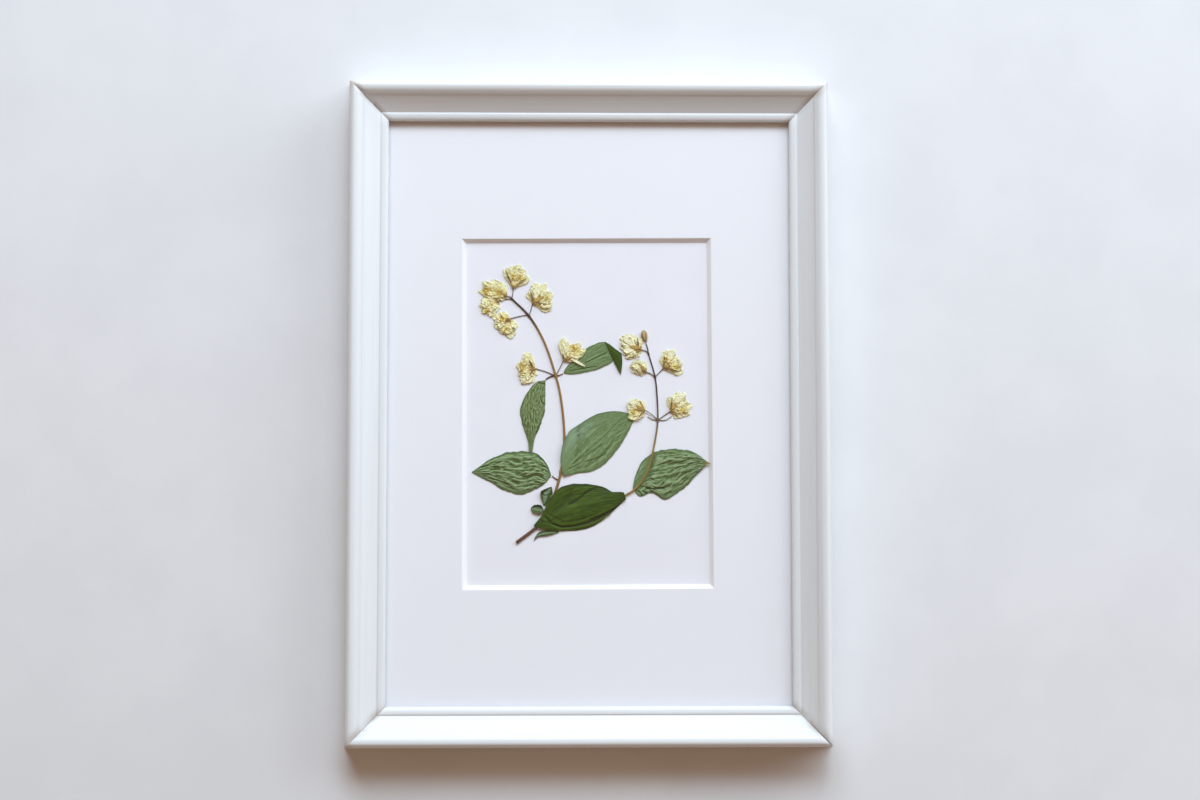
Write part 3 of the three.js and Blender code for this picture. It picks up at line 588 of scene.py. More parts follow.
def glass_finish():
    """Light that goes on to the sprig passes straight through, so no caustics are needed."""
    material, tree, shader = new_material("picture_glass", Base_Color=rgb(1, 1, 1), Roughness=0.0, IOR=1.5,
                                          Transmission_Weight=1.0)
    path = shader_node(tree, "LightPath").outputs
    passes = maths(tree, "MAXIMUM", path["Is Shadow Ray"], path["Is Diffuse Ray"])
    clear = shader_node(tree, "BsdfTransparent", {"Color": rgb(1, 1, 1)})
    both = shader_node(tree, "MixShader", {0: passes, 1: shader.outputs[0], 2: clear.outputs[0]})
    tree.links.new(both.outputs[0], tree.nodes["Material Output"].inputs["Surface"])
    return material


zinc = zinc_finish()
sheets = {"backing_sheet": card_finish(), "backing_board": hardboard_finish(), "glass_pane": glass_finish()}
print("plain finishes:", [zinc.name] + [material.name for material in sheets.values()])

# %% Give the CAD pieces their finish
METAL_ROUNDING, METAL_ANGLE = 0.1, 50


def wear(node, material):
    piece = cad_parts[node]
    piece.data.materials.clear()
    piece.data.materials.append(material)
    return piece


for node, material in sheets.items():
    wear(node, material)
metal = [wear(node, zinc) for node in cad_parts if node.startswith(("tab_", "hanger_"))]
for piece in metal:
    rounding = piece.modifiers.new("eased_edges", "BEVEL")
    rounding.width, rounding.segments = METAL_ROUNDING * MM, 2
    rounding.limit_method, rounding.angle_limit = "ANGLE", math.radians(METAL_ANGLE)
print("finished CAD pieces:", len(sheets) + len(metal))

# %% [markdown]
# ## Stems
# The sprig was cut below its main fork. A stem is a long tapered tube, pressed a little
# flat, with fine ridges along it and a swelling at each node. Below it is straw brown;
# towards the top, and in the thin flower stalks, it has dried to a dark purplish brown. So
# each tube carries an `age` value that the material turns into colour.

# %% A stem as a tube
STALK_WIDTH, STALK_FLATNESS, STALK_THIN = 1.35, 0.72, 0.38
LOWEST = 0.03                      # how close to the card a stem may come


def tube(path, width_at, age_at, flatness=STALK_FLATNESS, steps=200, sides=18, ridges=5, seed=0.0):
    """Points, faces and values of a closed, flattened tube; heights are above the card."""
    middle = flowing_line(path, steps + 1)
    t = np.linspace(0, 1, steps + 1)
    way = np.gradient(middle, axis=0)
    across = np.column_stack([-way[:, 1], way[:, 0]]) / np.linalg.norm(way[:, :2], axis=1)[:, None]
    width = np.array([width_at(s, p) for s, p in zip(t, middle)])
    tall = np.minimum(width * flatness / 2, middle[:, 2] - LOWEST)
    angle = np.linspace(0, 2 * np.pi, sides, endpoint=False)
    ridge = 1 + 0.05 * np.sin(ridges * angle[None] + 2.5 * np.sin(6 * t[:, None] + seed))
    ridge += 0.05 * noise_over(t[:, None] * steps / 9 + 0 * angle,
                               2 * np.cos(angle)[None] + 0 * t[:, None], seed)
    ridge = np.minimum(ridge, 1.06)
    side = np.cos(angle)[None] * width[:, None] / 2 * ridge
    x = middle[:, None, 0] + across[:, None, 0] * side
    y = middle[:, None, 1] + across[:, None, 1] * side
    z = np.maximum(middle[:, None, 2] + np.sin(angle)[None] * tall[:, None] * ridge, LOWEST)
    reach = np.array([-1, 1])[:, None] * 0.12 * width[[0, -1], None]
    ends = middle[[0, -1]] + reach * way[[0, -1]] / np.linalg.norm(way[[0, -1]], axis=1)[:, None]
    points = np.concatenate([np.stack([x, y, z], axis=2).reshape(-1, 3), ends])
    faces, last = ring_faces(steps + 1, sides), steps * sides
    faces += [[(k + 1) % sides, k, last + sides] for k in range(sides)]
    faces += [[last + k, last + (k + 1) % sides, last + sides + 1] for k in range(sides)]
    age = np.array([age_at(s, p) for s, p in zip(t, middle)])
    return {
        "points": points, "faces": faces,
        "age": np.append(np.repeat(age, sides), [age[0], age[-1]]),
        "along": np.append(np.repeat(t * steps / 4, sides), [0, steps / 4]),
        "round": np.append(np.tile(np.cos(angle), steps + 1), [0, 0]),
    }


def joined(parts):
    """Several closed meshes as one: points, faces and values."""
    offset, faces = 0, []
    for part in parts:
        faces += [[offset + k for k in face] for face in part["faces"]]
        offset += len(part["points"])
    keys = [k for k in parts[0] if k not in ("points", "faces")]
    values = {k: np.concatenate([np.ravel(p[k]) for p in parts]) for k in keys}
    return np.concatenate([p["points"] for p in parts]) + [0, 0, SHEET_TOP], faces, values


def swelling(point, nodes, size=0.5, reach=1.8):
    return sum(size * float(smooth(1 - math.hypot(point[0] - x, point[1] - y) / reach)) for x, y in nodes)


print("stem helpers ready")

# %% [markdown]
# ### Where the sprig lies
# The plan of the sprig in millimetres from the middle of the frame; a stem's points also
# have a height above the card. The CAD solids follow the same plan, so every dressed piece
# lies where its solid lies.

# %% Plan of the stems
TWIG = [[-35.8, -64.8, 0.65], [-26.4, -57.6, 0.62], [-23.4, -54.9, 0.55]]
LEFT_SHOOT = [
    [-22.2, -52.6, 0.5], [-16.6, -39.4, 0.5], [-13.8, -29, 0.5], [-12.3, -13, 0.5], [-14.3, 8.1, 0.5],
    [-16.7, 18.1, 0.48], [-22.6, 35.2, 0.44], [-30, 47.7, 0.4], [-38.9, 56.6, 0.38],
]
RIGHT_SHOOT = [
    [-21, -54.2, 0.5], [-5, -49.6, 0.5], [10, -45.3, 0.5], [17, -42, 0.6], [22.6, -38.5, 0.95],
    [27.8, -31.7, 1], [30.6, -23.5, 1], [32.9, -13, 0.6], [34, -4.4, 0.44], [33.8, 5.8, 0.4],
    [32.7, 17.3, 0.38], [29.4, 29.2, 0.34],
]
LEFT_NODES = [(-13.8, -29.6), (-16.7, 18.1), (-30.2, 47.6), (-38.9, 56.4)]
RIGHT_NODES = [(34, -4.4), (32.7, 17.2), (29.4, 29.1)]
LEFT_STALKS = {
    "crown": (-38.6, 56.3), "crown_left": (-38.8, 56.5), "crown_low": (-38.4, 56.1),
    "shoulder_right": (-30, 47.7), "shoulder_left": (-30.6, 48.2),
    "waist_left": (-16.8, 17.8), "waist_right": (-16.6, 17.8),
}
RIGHT_STALKS = {
    "top_right": (29.4, 29.1), "small": (32.7, 17), "middle_right": (32.8, 17.3),
    "low_left": (34, -4.2), "low_right": (34, -4.4),
}
LEAF_STALKS = [
    ([[-14.9, -34.2], [-16.6, -33.3], [-18.4, -31.9]], 0.7, 0.85),
    ([[-16.7, 18], [-19.4, 17.3], [-21.6, 15.9]], 0.9, 0.95),
    ([[-16.6, 17.9], [-14.8, 18], [-13, 18.8]], 0.7, 0.8),
]
BRACTS = [[[34, -4.3], [37.8, -4.3], [41, -2.4]], [[34, -4.4], [31.6, -4], [29, -2.6]]]
BUD_STALK = [[29.4, 29.1], [29, 31.6], [28.45, 33.6]]
print("flower stalks:", len(LEFT_STALKS) + len(RIGHT_STALKS))

# %% Plan of the flowers
# Besides its calyx and petal tips, a flower lists the hearts of its golden stamens, its
# sepals and its broad smooth petals, each as (foot, tip, half width, how golden or pale).
# `lift` raises a flower that lies on the edge of a leaf.
FLOWERS = {
    "crown": dict(calyx=(-37.8, 61.6), petals=[
        (-42.1, 71.5), (-38.4, 73), (-34.8, 73.6), (-31.9, 71), (-29.8, 67.1)],
        gold=[(-38.1, 67.4), (-34, 66.8)],
        sepals=[((-38.3, 62.8), (-41.9, 70.8), 0.35, 0.0), ((-37, 62.4), (-30.8, 66.5), 0.4, 0.3)]),
    "crown_left": dict(calyx=(-41, 57.6), petals=[
        (-44.3, 64.3), (-48.3, 65.6), (-53, 64.3), (-54.8, 59.8), (-51.4, 57.1), (-45, 57)],
        gold=[(-52.3, 61.4), (-51.2, 59.6), (-49.8, 60.9), (-45.1, 59)],
        sepals=[((-41.6, 57.5), (-45.4, 60.2), 0.5, 0.4)]),
    "crown_low": dict(calyx=(-45, 55.2), petals=[
        (-54.2, 55.8), (-54.7, 52.4), (-53.2, 49.1), (-49.8, 47), (-46.5, 50.7)],
        gold=[(-51.2, 50)], sepals=[]),
    "shoulder_right": dict(calyx=(-28, 53.9), petals=[
        (-29.7, 60.3), (-26.6, 64.5), (-21.7, 63.8), (-17.6, 58.8), (-17.9, 54.3), (-18.9, 50.8)],
        gold=[(-21.4, 56.4)], smooth=[((-27, 56), (-24.6, 63.2), 2.3, 0.8)],
        sepals=[((-27.6, 54.8), (-29.4, 60), 0.6, 0.25), ((-27.6, 54.6), (-22.3, 57.4), 1.2, 0.9),
                ((-26.6, 54), (-20.4, 53.2), 0.45, 0.1)]),
    "shoulder_left": dict(calyx=(-39.4, 46), petals=[
        (-44.4, 48.9), (-48.1, 47), (-47.2, 42.2), (-44.3, 39.1), (-38.6, 36), (-36.9, 40.9)],
        gold=[(-43, 45.8), (-41.4, 40.6)],
        sepals=[((-42.4, 46), (-44.5, 48.9), 0.4, 0.6), ((-38.6, 42.6), (-36.8, 40.2), 0.45, 0.0),
                ((-39.6, 45.8), (-42, 45), 0.8, 0.2)]),
    "waist_left": dict(calyx=(-26.9, 21.2), petals=[
        (-32.1, 29.5), (-35.9, 22.8), (-35.2, 17.9), (-33.6, 13.7), (-30.5, 13.9), (-27.9, 18.3)],
        gold=[(-33.4, 23.2), (-33, 21.6), (-33.8, 20.4)],
        sepals=[((-27.6, 21.4), (-30.1, 25.9), 0.6, 0.1), ((-27.6, 21), (-29.6, 18), 0.5, 0.3),
                ((-27.4, 21.2), (-30, 21.8), 0.6, 0.5)]),
    "waist_right": dict(calyx=(-12.6, 25.7), lift=0.66, petals=[
        (-13.1, 36.8), (-8.8, 33), (-4.4, 33.9), (-1.7, 30.4), (-4.6, 27.2)],
        gold=[(-8.2, 32.2), (-7, 30.8), (-5.8, 29.4)],
        smooth=[((-10.4, 27.2), (-12.8, 36.9), 1.9, 0.7), ((-10.4, 26.8), (-2.2, 22.6), 0.9, 0.9)],
        sepals=[((-12.4, 26), (-7.2, 27.1), 0.9, 0.5), ((-12.6, 26), (-13.2, 29), 0.5, 0.1)]),
    "top_right": dict(calyx=(25.9, 30.9), petals=[
        (24.1, 36.7), (21.5, 37.9), (18.1, 38.8), (15.3, 37.1), (15.5, 31.8), (17.9, 26.6), (22.5, 27.6)],
        gold=[], smooth=[((23, 32), (17.6, 37.6), 2.7, 0.9), ((22.6, 31), (16.9, 30.4), 2.3, 0.7)],
        sepals=[((25.2, 31.4), (19.6, 32.5), 1.3, 0.8), ((24.6, 31.8), (23.8, 37), 0.45, 0.0),
                ((25, 30.6), (22, 28), 0.7, 0.4)]),
    "small": dict(calyx=(28.4, 19.8), petals=[
        (26.3, 24.8), (22.8, 26), (20.1, 23), (20.7, 20.6), (24.9, 19.2)],
        gold=[], smooth=[((26.4, 21), (21.4, 23), 1.5, 0.4)],
        sepals=[((28, 20.2), (24.3, 23.8), 0.9, 0.6), ((27.8, 19.8), (22.4, 20), 0.4, 0.0)]),
    "middle_right": dict(calyx=(37, 21.6), petals=[
        (37.3, 27.6), (39.1, 30.9), (42.4, 30.9), (46.2, 24.6), (46.7, 19.7)],
        gold=[(38.3, 25.6), (43.2, 22)], smooth=[((39, 24), (41.6, 30.6), 2.2, 0.9)],
        sepals=[((37.2, 22.2), (37.4, 28), 0.5, 0.1), ((37.3, 21.9), (40.4, 23.3), 1.0, 0.6),
                ((37.6, 21.5), (45.8, 19.6), 0.4, 0.1)]),
    "low_left": dict(calyx=(27.6, 0.5), lift=0.62, petals=[
        (25.1, 5.2), (21, 6.1), (18.2, 3), (19.1, -3.3), (20.7, -4.2), (24.5, -2.3)],
        gold=[(22, -0.4)], smooth=[((24, 2), (20.4, 5.6), 1.7, 0.8)],
        sepals=[((27, 0.9), (25, 5.6), 0.7, 0.7), ((27, 0.8), (22.1, 1.1), 0.8, 0.55),
                ((27, 0.5), (24.4, -3.3), 0.5, 0.5), ((26.8, 0.9), (23, 3.3), 0.6, 0.9)]),
    "low_right": dict(calyx=(40.4, 0.2), petals=[
        (40.8, 7.9), (44.4, 9.6), (47.7, 9.3), (51.1, 3.1), (50, -0.9), (45.4, -2.5)],
        gold=[(46.4, 0.6)], smooth=[((42.4, 3.4), (45.8, 8.8), 2.0, 0.8)],
        sepals=[((40.7, 0.9), (41.2, 7.2), 0.5, 0.1), ((41, 0.9), (43.4, 4.6), 0.9, 0.9),
                ((41, 0.2), (44.2, -1.4), 0.6, 0.4)]),
}


def heart_of(flower):
    return np.mean([flower["calyx"], *flower["petals"]], axis=0)


print("flowers:", len(FLOWERS))

# %% Finish of the stems
def bark_finish(name, young, old):
    """Fine lines run along the stem; `age` turns the young colour into the old one."""
    material, tree, shader = new_material(name, Roughness=0.6, Specular_IOR_Level=0.2)
    run = value_plane(tree, "along", "round")
    lines = grain(tree, run, (0.35, 5.0, 1.0), 4.0)
    patches = grain(tree, run, (0.25, 0.8, 1.0))
    shift = maths(tree, "MULTIPLY_ADD", patches.outputs["Height"], 0.5, -0.25)
    age = maths(tree, "ADD", vertex_value(tree, "age"), shift, clamp=True)
    base = mix_colours(tree, age, young, old)
    base = mix_colours(tree, times(tree, lines.outputs["Streak"], 0.55), base, rgb(0.10, 0.055, 0.035))
    return finished(material, shader, base, lines.outputs["Height"], 0.00015, 0.8)


PURPLE_BROWN = rgb(0.048, 0.023, 0.027)
stem_skin = bark_finish("dried_stem", rgb(0.40, 0.225, 0.06), PURPLE_BROWN)
golden_skin = bark_finish("golden_stem", rgb(0.38, 0.27, 0.06), PURPLE_BROWN)
twig_skin = bark_finish("brown_bark", rgb(0.15, 0.072, 0.040), rgb(0.050, 0.025, 0.018))
print("bark finishes:", [skin.name for skin in (stem_skin, golden_skin, twig_skin)])

# %% Twig and shoots
STALK_HEIGHT, SIDE_HEIGHT = 0.4, 0.36


def stalk_end(flower):
    """Just short of the calyx, on the side away from the flower's heart."""
    calyx = np.array(flower["calyx"], float)
    away = calyx - heart_of(flower)
    return np.append(calyx + 0.3 * away / np.linalg.norm(away), STALK_HEIGHT + flower.get("lift", 0))


def flower_stalk(name, start, seed):
    """Thin, a little swollen at both ends, with one slight bend."""
    end = stalk_end(FLOWERS[name])
    bend = (np.append(start, STALK_HEIGHT) + end) / 2 + [0.25, 0.25, 0]
    return tube([[*start, STALK_HEIGHT], bend, end],
                lambda t, p: STALK_THIN * (1 + 0.35 * t**6 + 0.3 * (1 - t) ** 8),
                lambda t, p: 0.95 - 0.15 * t, flatness=0.9, steps=36, sides=12, ridges=3, seed=seed)


def side_stalk(path, width, age, seed):
    return tube([[*p, SIDE_HEIGHT] for p in path], lambda t, p: width * (1 - 0.35 * t), lambda t, p: age,
                flatness=0.8, steps=24, sides=12, ridges=3, seed=seed)


def left_age(t, p):
    """Tan at the fork, golden higher up, dark above the second node."""
    return float(0.42 * (1 - smooth(4 * t)) + 0.12 + 0.85 * smooth((p[1] - 38) / 9))


def right_age(t, p):
    return float(0.12 + 0.5 * smooth((p[1] + 20) / 18) + 0.33 * smooth((p[1] + 2) / 8))


left_parts = [tube(LEFT_SHOOT, lambda t, p: STALK_WIDTH * (1 - 0.35 * t) + swelling(p, LEFT_NODES),
                   left_age, steps=420, seed=1.0)]
left_parts += [flower_stalk(n, s, 2.0 + i) for i, (n, s) in enumerate(LEFT_STALKS.items())]
left_parts += [side_stalk(p, w, a, 10.0 + i) for i, (p, w, a) in enumerate(LEAF_STALKS)]
right_parts = [tube(RIGHT_SHOOT,
                    lambda t, p: (STALK_WIDTH - 0.15) * (1 - 0.45 * t) + swelling(p, RIGHT_NODES, 0.4),
                    right_age, steps=420, seed=20.0)]
right_parts += [flower_stalk(n, s, 21.0 + i) for i, (n, s) in enumerate(RIGHT_STALKS.items())]
right_parts += [side_stalk(p, 0.42, 0.8, 30.0 + i) for i, p in enumerate(BRACTS)]
right_parts.append(side_stalk(BUD_STALK, 0.7, 0.85, 33.0))
twig_part = tube(TWIG, lambda t, p: 1.2 * STALK_WIDTH - 0.15 * t + 0.7 * float(smooth(5 * t - 4)),
                 lambda t, p: 0.75 - 0.5 * float(smooth(6 * t)), steps=90, sides=28, ridges=7, seed=40.0)

for name, parts, skin, slot, node in (
    ("left_stem", left_parts, stem_skin, "stem", "left_shoot"),
    ("right_stem", right_parts, golden_skin, "stem", "right_shoot"),
    ("cut_foot", [twig_part], twig_skin, "bark", "twig"),
):
    points, faces, values = joined(parts)
    piece = new_piece(name, points, faces, skin, slot, [node], **values)
    print(piece.name, "tubes:", len(parts), "points:", len(points))

# %% [markdown]
# ## Leaves
# A leaf is a thin sheet between two curved rims that run from its base to its tip. On the
# grid between them, u goes from base to tip and v from the right rim to the left one. The
# main veins start at the base and meet again at the tip, so they are simply lines of
# constant v. Dry wrinkles run with them: noise, stretched along the leaf, gives rounded
# puckers between sharper folds that start, wander and stop. The few big folds are drawn one
# by one as creases, each with a painted shadow along it. From the height of each point
# against its surroundings comes `valley`, which paints shade into folds and a highlight
# onto ridges.

# %% Plan of the leaves
# Besides base, tip and rims, a leaf has the height of its arch, of its puckers with their
# length and width, of its finest wrinkles and its veins. A crease is a line with its depth,
# its width and how dark the painted shadow along it is. `over` and `under` name the stems
# that the leaf passes.
LEAF_THIN, LEAF_LOW, LEAF_HIGH = 0.2, 0.2, 1.75      # thickness; lowest and highest middle layer
STEM_COVER, COVER_REACH, STEM_TOP = 1.4, 9.0, 1.25   # a leaf over a stem: its rise, reach and least
VEIN_WIDTH, MIDRIB_WIDTH, LEAF_SLIMNESS = 0.13, 0.23, 0.26
LEAVES = {
    "lower_left": dict(
        base=(-18.9, -31.7), tip=(-58.1, -30.1),
        left=[(-22.6, -36.2), (-33.8, -40.9), (-42.9, -38.4), (-50.8, -34)],
        right=[(-20.9, -26.2), (-26, -21), (-37, -19.7), (-47.7, -23)],
        arch=0.35, pucker=0.76, long=7.2, wide=2.1, fine=0.14, vein=0.16,
        creases=[([(-25.6, -21.5), (-22.6, -24.2), (-20.8, -27.1), (-19.5, -30), (-18.6, -31.6)],
                  0.1, 0.4, 0.9)]),
    "upper_left": dict(
        base=(-22, 15.4), tip=(-29, -19.9),
        left=[(-21.8, 8.3), (-22, 0.3), (-24.4, -7.2), (-27.2, -14.3)],
        right=[(-26, 14.7), (-31.2, 8.7), (-34.2, 0.3), (-32.7, -7.6), (-30.3, -15)],
        tip_half=0.9, arch=0.7, pucker=0.42, long=3.3, wide=1.7, fine=0.17, vein=0.05, tip_rise=0.5,
        yellow=0.5,
        creases=[([(-26.4, 15.6), (-24.3, 14.2), (-21.9, 13.9)], 0.25, 0.5, 0.6),
                 ([(-21.4, 2.4), (-23.6, 4.6), (-24.6, 7.4)], 0.3, 0.5, 0.6),
                 ([(-24.2, -6.5), (-25.6, -8.5), (-26.2, -11.5)], 0.25, 0.5, 0.6)]),
    "centre": dict(
        base=(-12.9, -31.4), tip=(22.9, -2.1),
        left=[(-14.2, -24.3), (-12.9, -15.9), (-9.4, -9.6), (-3.3, -5.1), (5.1, -1), (14.2, 0.2)],
        right=[(-5.1, -30.6), (3, -29.1), (9.9, -23.7), (16.8, -14.7), (21.4, -6)],
        arch=0.2, pucker=0.24, long=8.0, wide=1.8, fine=0.07, vein=0.12, lopsided=0.6, sheen=1.0,
        over=[LEFT_SHOOT],
        creases=[([(-11.5, -29.4), (-4.5, -22.2), (4, -15.4), (10.8, -8.6), (15.9, -3.5)], 0.12, 0.3, 0.45),
                 ([(-9.8, -28.2), (-2.8, -24.8), (4, -23.1), (8.4, -20.3)], 0.14, 0.35, 0.6),
                 ([(-6.8, -24.6), (2.6, -19.2), (9.8, -12.4)], 0.1, 0.25, 0.35),
                 ([(-7.4, -22), (-0.6, -13.2), (6.2, -7.2)], 0.08, 0.25, 0.25)]),
    "front": dict(
        base=(-27.3, -56.6), tip=(17.7, -41.8), tip_half=1.7,
        left=[(-24, -52), (-19.9, -44.2), (-14.6, -38), (-8.5, -35.9), (2.7, -36.4), (8.4, -38.1),
              (11.2, -39.8), (15.8, -39.9)],
        right=[(-21.5, -58.6), (-14.6, -59.1), (-4.3, -58.7), (4.3, -55.6), (12.1, -49.1)],
        arch=0.2, pucker=0.3, long=9.0, wide=2.2, fine=0.08, vein=0.06, upper=1.0,
        over=[TWIG, LEFT_SHOOT, RIGHT_SHOOT],
        creases=[([(-21.2, -51.8), (-18.5, -55.1), (-13.6, -57), (-8.5, -56.7), (-2.6, -55.1), (2.5, -53.6),
                   (8, -50.9), (12.7, -48.2), (16.1, -45.5), (18.1, -43.5)], 0.9, 0.75, 1.0),
                 ([(0.5, -53.4), (8, -50.2), (12.6, -47.4), (16.2, -44.6)], 0.5, 0.7, 0.9),
                 ([(-15, -58.2), (-4.3, -57), (4.2, -54.4), (12.4, -49.7)], -0.35, 0.8, 0.0),
                 ([(3.8, -37.6), (-1.7, -40.6), (-5.1, -43.6), (-9.4, -46.1)], 0.35, 0.9, 0.6),
                 ([(-14.4, -38), (-8.5, -36.1), (2.7, -36.7), (8.3, -38.4), (11, -40.2)], 0.15, 0.5, 0.7),
                 ([(-20.5, -50.5), (-12, -54.6), (-4.4, -53.2), (3.6, -50.4)], 0.2, 0.5, 0.4),
                 ([(-24.6, -53), (-22.6, -54.6), (-20.2, -54.2)], 0.3, 0.5, 0.8)]),
    "right": dict(
        base=(21.6, -38.2), tip=(60, -25.9),
        left=[(22.6, -32.9), (25.8, -25.3), (31.3, -20.6), (40.8, -18.6), (51.7, -20.2), (58.2, -24.6)],
        right=[(25, -42), (31.6, -40.5), (37, -43.8), (45.8, -38.7), (53.5, -31.5), (58, -26.6)],
        arch=0.3, pucker=0.78, long=8.2, wide=2.1, fine=0.14, vein=0.10, tip_rise=1.2, dry_tip=1.0,
        under=RIGHT_SHOOT,
        creases=[([(28.8, -37.8), (32.5, -38.2), (37, -37.6)], 0.6, 0.7, 0.9),
                 ([(26.6, -39.4), (28.6, -40.2), (29.4, -41.6)], 0.5, 0.5, 0.9),
                 ([(23.2, -38.2), (25.4, -40.1), (26.2, -41.6)], 0.3, 0.45, 0.8),
                 ([(24.2, -36.6), (28.4, -37.4), (31.4, -39.6)], 0.3, 0.5, 0.6)]),
    "top": dict(
        base=(-12.6, 19.2), tip=(13.6, 30.6),
        left=[(-11.4, 22), (-7.5, 25.9), (-4, 29.2), (0.1, 32.3), (5, 34.4), (9, 34.2)],
        right=[(-9.4, 18.5), (-3, 19.3), (5.4, 21.5), (11.6, 25)],
        arch=0.12, pucker=0.16, long=7.0, wide=1.7, fine=0.05, vein=0.08,
        creases=[([(-9.5, 20.3), (-4, 21.4), (3.4, 22.6)], 0.25, 0.5, 0.6),
                 ([(-2, 24.4), (3.4, 27), (8.4, 29.4)], 0.22, 0.5, 0.6)]),
    "bud_upper": dict(
        base=(-22.4, -46.6), tip=(-18.7, -37.3),
        left=[(-23.2, -44.4), (-24.1, -41.5), (-23.9, -39.6), (-21.4, -38.3)],
        right=[(-20.4, -44.6), (-18.4, -41.4), (-18.2, -39.2)],
        arch=0.0, pucker=0.2, long=2.0, wide=1.2, fine=0.08, vein=0.0, curl=1.15, rolled=1.0,
        creases=[([(-23.7, -39.9), (-22.2, -41.3), (-18.6, -40.9)], 0.5, 0.4, 0.9)]),
    "bud_middle": dict(
        base=(-22.6, -48.9), tip=(-28.9, -47.9),
        left=[(-23.6, -50.3), (-26, -50.4), (-28.2, -49.4)],
        right=[(-23.4, -46.8), (-25.2, -46.1), (-27.6, -46.6)],
        arch=0.0, pucker=0.15, long=2.0, wide=1.2, fine=0.08, vein=0.0, curl=1.1, rolled=1.0),
    "bud_lower": dict(
        base=(-15.0, -59.5), tip=(-27.3, -64),
        left=[(-17.4, -60.6), (-21.6, -61.5), (-24.6, -61.8), (-26.4, -63)],
        right=[(-18, -59.2), (-22, -59), (-24.6, -59.6), (-26.6, -62)],
        arch=0.2, pucker=0.2, long=2.5, wide=1.2, fine=0.08, vein=0.0, curl=0.5, rolled=0.8),
}
FLAP = dict(inner=[(7.6, 35), (12, 25.4), (15.3, 18.8)], outer=[(16.2, 28.9), (16.4, 24), (15.8, 18.7)],
            fold_height=0.36, height=0.66)
MAIN_VEINS = (-0.72, -0.38, 0.0, 0.38, 0.72)
print("leaves:", len(LEAVES))


# %% Height of a leaf
def distance_to(path, x, y):
    """Signed distance to a polyline, positive on its left side."""
    best, sign = np.full(x.shape, np.inf), np.ones(x.shape)
    for (ax, ay), (bx, by) in zip([p[:2] for p in path], [p[:2] for p in path[1:]]):
        dx, dy = bx - ax, by - ay
        t = np.clip(((x - ax) * dx + (y - ay) * dy) / (dx * dx + dy * dy), 0, 1)
        gap = np.hypot(x - ax - t * dx, y - ay - t * dy)
        side = np.where(dx * (y - ay) - dy * (x - ax) >= 0, 1.0, -1.0)
        sign = np.where(gap < best, side, sign)
        best = np.minimum(best, gap)
    return best * sign


def blurred(grid, reach):
    """The grid's mean over a square window, for telling ridges from valleys."""
    padded = np.pad(grid, reach, mode="edge")
    total = np.cumsum(np.cumsum(np.pad(padded, ((1, 0), (1, 0))), axis=0), axis=1)
    w = 2 * reach + 1
    return (total[w:, w:] - total[:-w, w:] - total[w:, :-w] + total[:-w, :-w]) / w**2


def valley_of(height, reach, depth):
    """1 where a point lies `depth` below its surroundings, -1 where it stands above them."""
    return np.clip((blurred(height, reach) - height) / depth, -1, 1)


def puckers(leaf, along, across, seed):
    """Rounded folds that run along the leaf, from 0 in a valley to about 1 on a ridge."""
    wander = 1.2 * noise_over(along / 9, across / 7, seed)
    u, v = along / leaf["long"], (across + wander) / leaf["wide"]
    broad = noise_over(u, v, seed + 3, 2)
    small = noise_over(u * 2.3, v * 2.1, seed + 5, 2)

    def lines(stretch, seed):
        return np.clip(1 - 3.2 * abs(noise_over(u / stretch, v * 1.3, seed, 1)), 0, 1) ** 2

    folds = 0.5 + 0.6 * broad + 0.3 * small - 0.4 * lines(1.2, seed + 8) + 0.35 * lines(1, seed + 21)
    return np.clip(folds, 0, 1.4)


def softly_above(height, least):
    """The larger of two heights, with the kink between them rounded off."""
    return 0.5 * (height + least + np.sqrt((height - least) ** 2 + 0.03)) - 0.04


def leaf_shape(leaf, u, v, x, y, seed):
    """Height of the middle layer above the card, and how strongly a vein shows."""
    inside = smooth(4 * (1 - abs(v))) * smooth(7 * u) * smooth(7 * (1 - u))
    length = math.dist(leaf["base"], leaf["tip"])
    half = LEAF_SLIMNESS * length * np.sqrt(np.clip(4 * u * (1 - u), 0, 1)) + 0.3
    along, across = u * length, v * half
    wrinkled = puckers(leaf, along, across, seed) * (1 - leaf.get("lopsided", 0) * smooth(v + 0.6))
    fine = leaf["fine"] * noise_over(along / 1.6, across / 0.7, seed + 7)
    vein = sum(close_to(v * half, at * half, VEIN_WIDTH if at else MIDRIB_WIDTH) for at in MAIN_VEINS)
    vein = vein * smooth(8 * u) * (1 - 0.8 * smooth(2.5 * u - 1))
    relief = leaf["pucker"] * wrinkled * (0.3 + 0.7 * inside) + leaf["vein"] * vein + fine
    height = leaf["arch"] * (1 - v * v) * np.sin(np.pi * u) + relief * (0.2 + 0.8 * inside)
    height += leaf.get("curl", 0) * abs(v) ** 2.5 * np.sin(np.pi * np.clip(u, 0, 1)) ** 0.6
    if "under" in leaf:
        height = height * smooth((abs(distance_to(leaf["under"], x, y)) - 0.8 * STALK_WIDTH) / 2.6)
    from_stems = [abs(distance_to(path, x, y)) for path in leaf.get("over", [])]
    for gap in from_stems:
        height = softly_above(height, STEM_COVER * smooth(1.12 - gap / COVER_REACH) + 0.6 * relief - LEAF_LOW)
    crease = np.zeros(u.shape)
    # A crease sinks the leaf along its line, and its `crease` value says how dark the painted shadow along it
    # is.
    for line, drop, width, dark in leaf.get("creases", []):
        gap = distance_to(line, x, y)
        cut = close_to(gap, 0, np.where(gap > 0, 0.35 * width, width))
        height, crease = height - drop * cut, np.maximum(crease, dark * cut)
    for gap in from_stems:
        height = np.maximum(height, STEM_TOP * smooth(2 - gap / 1.6) - LEAF_LOW)
    height = np.clip(LEAF_LOW + height, LEAF_LOW, LEAF_HIGH)
    return height + leaf.get("tip_rise", 0) * u**8, np.clip(vein, 0, 1), crease


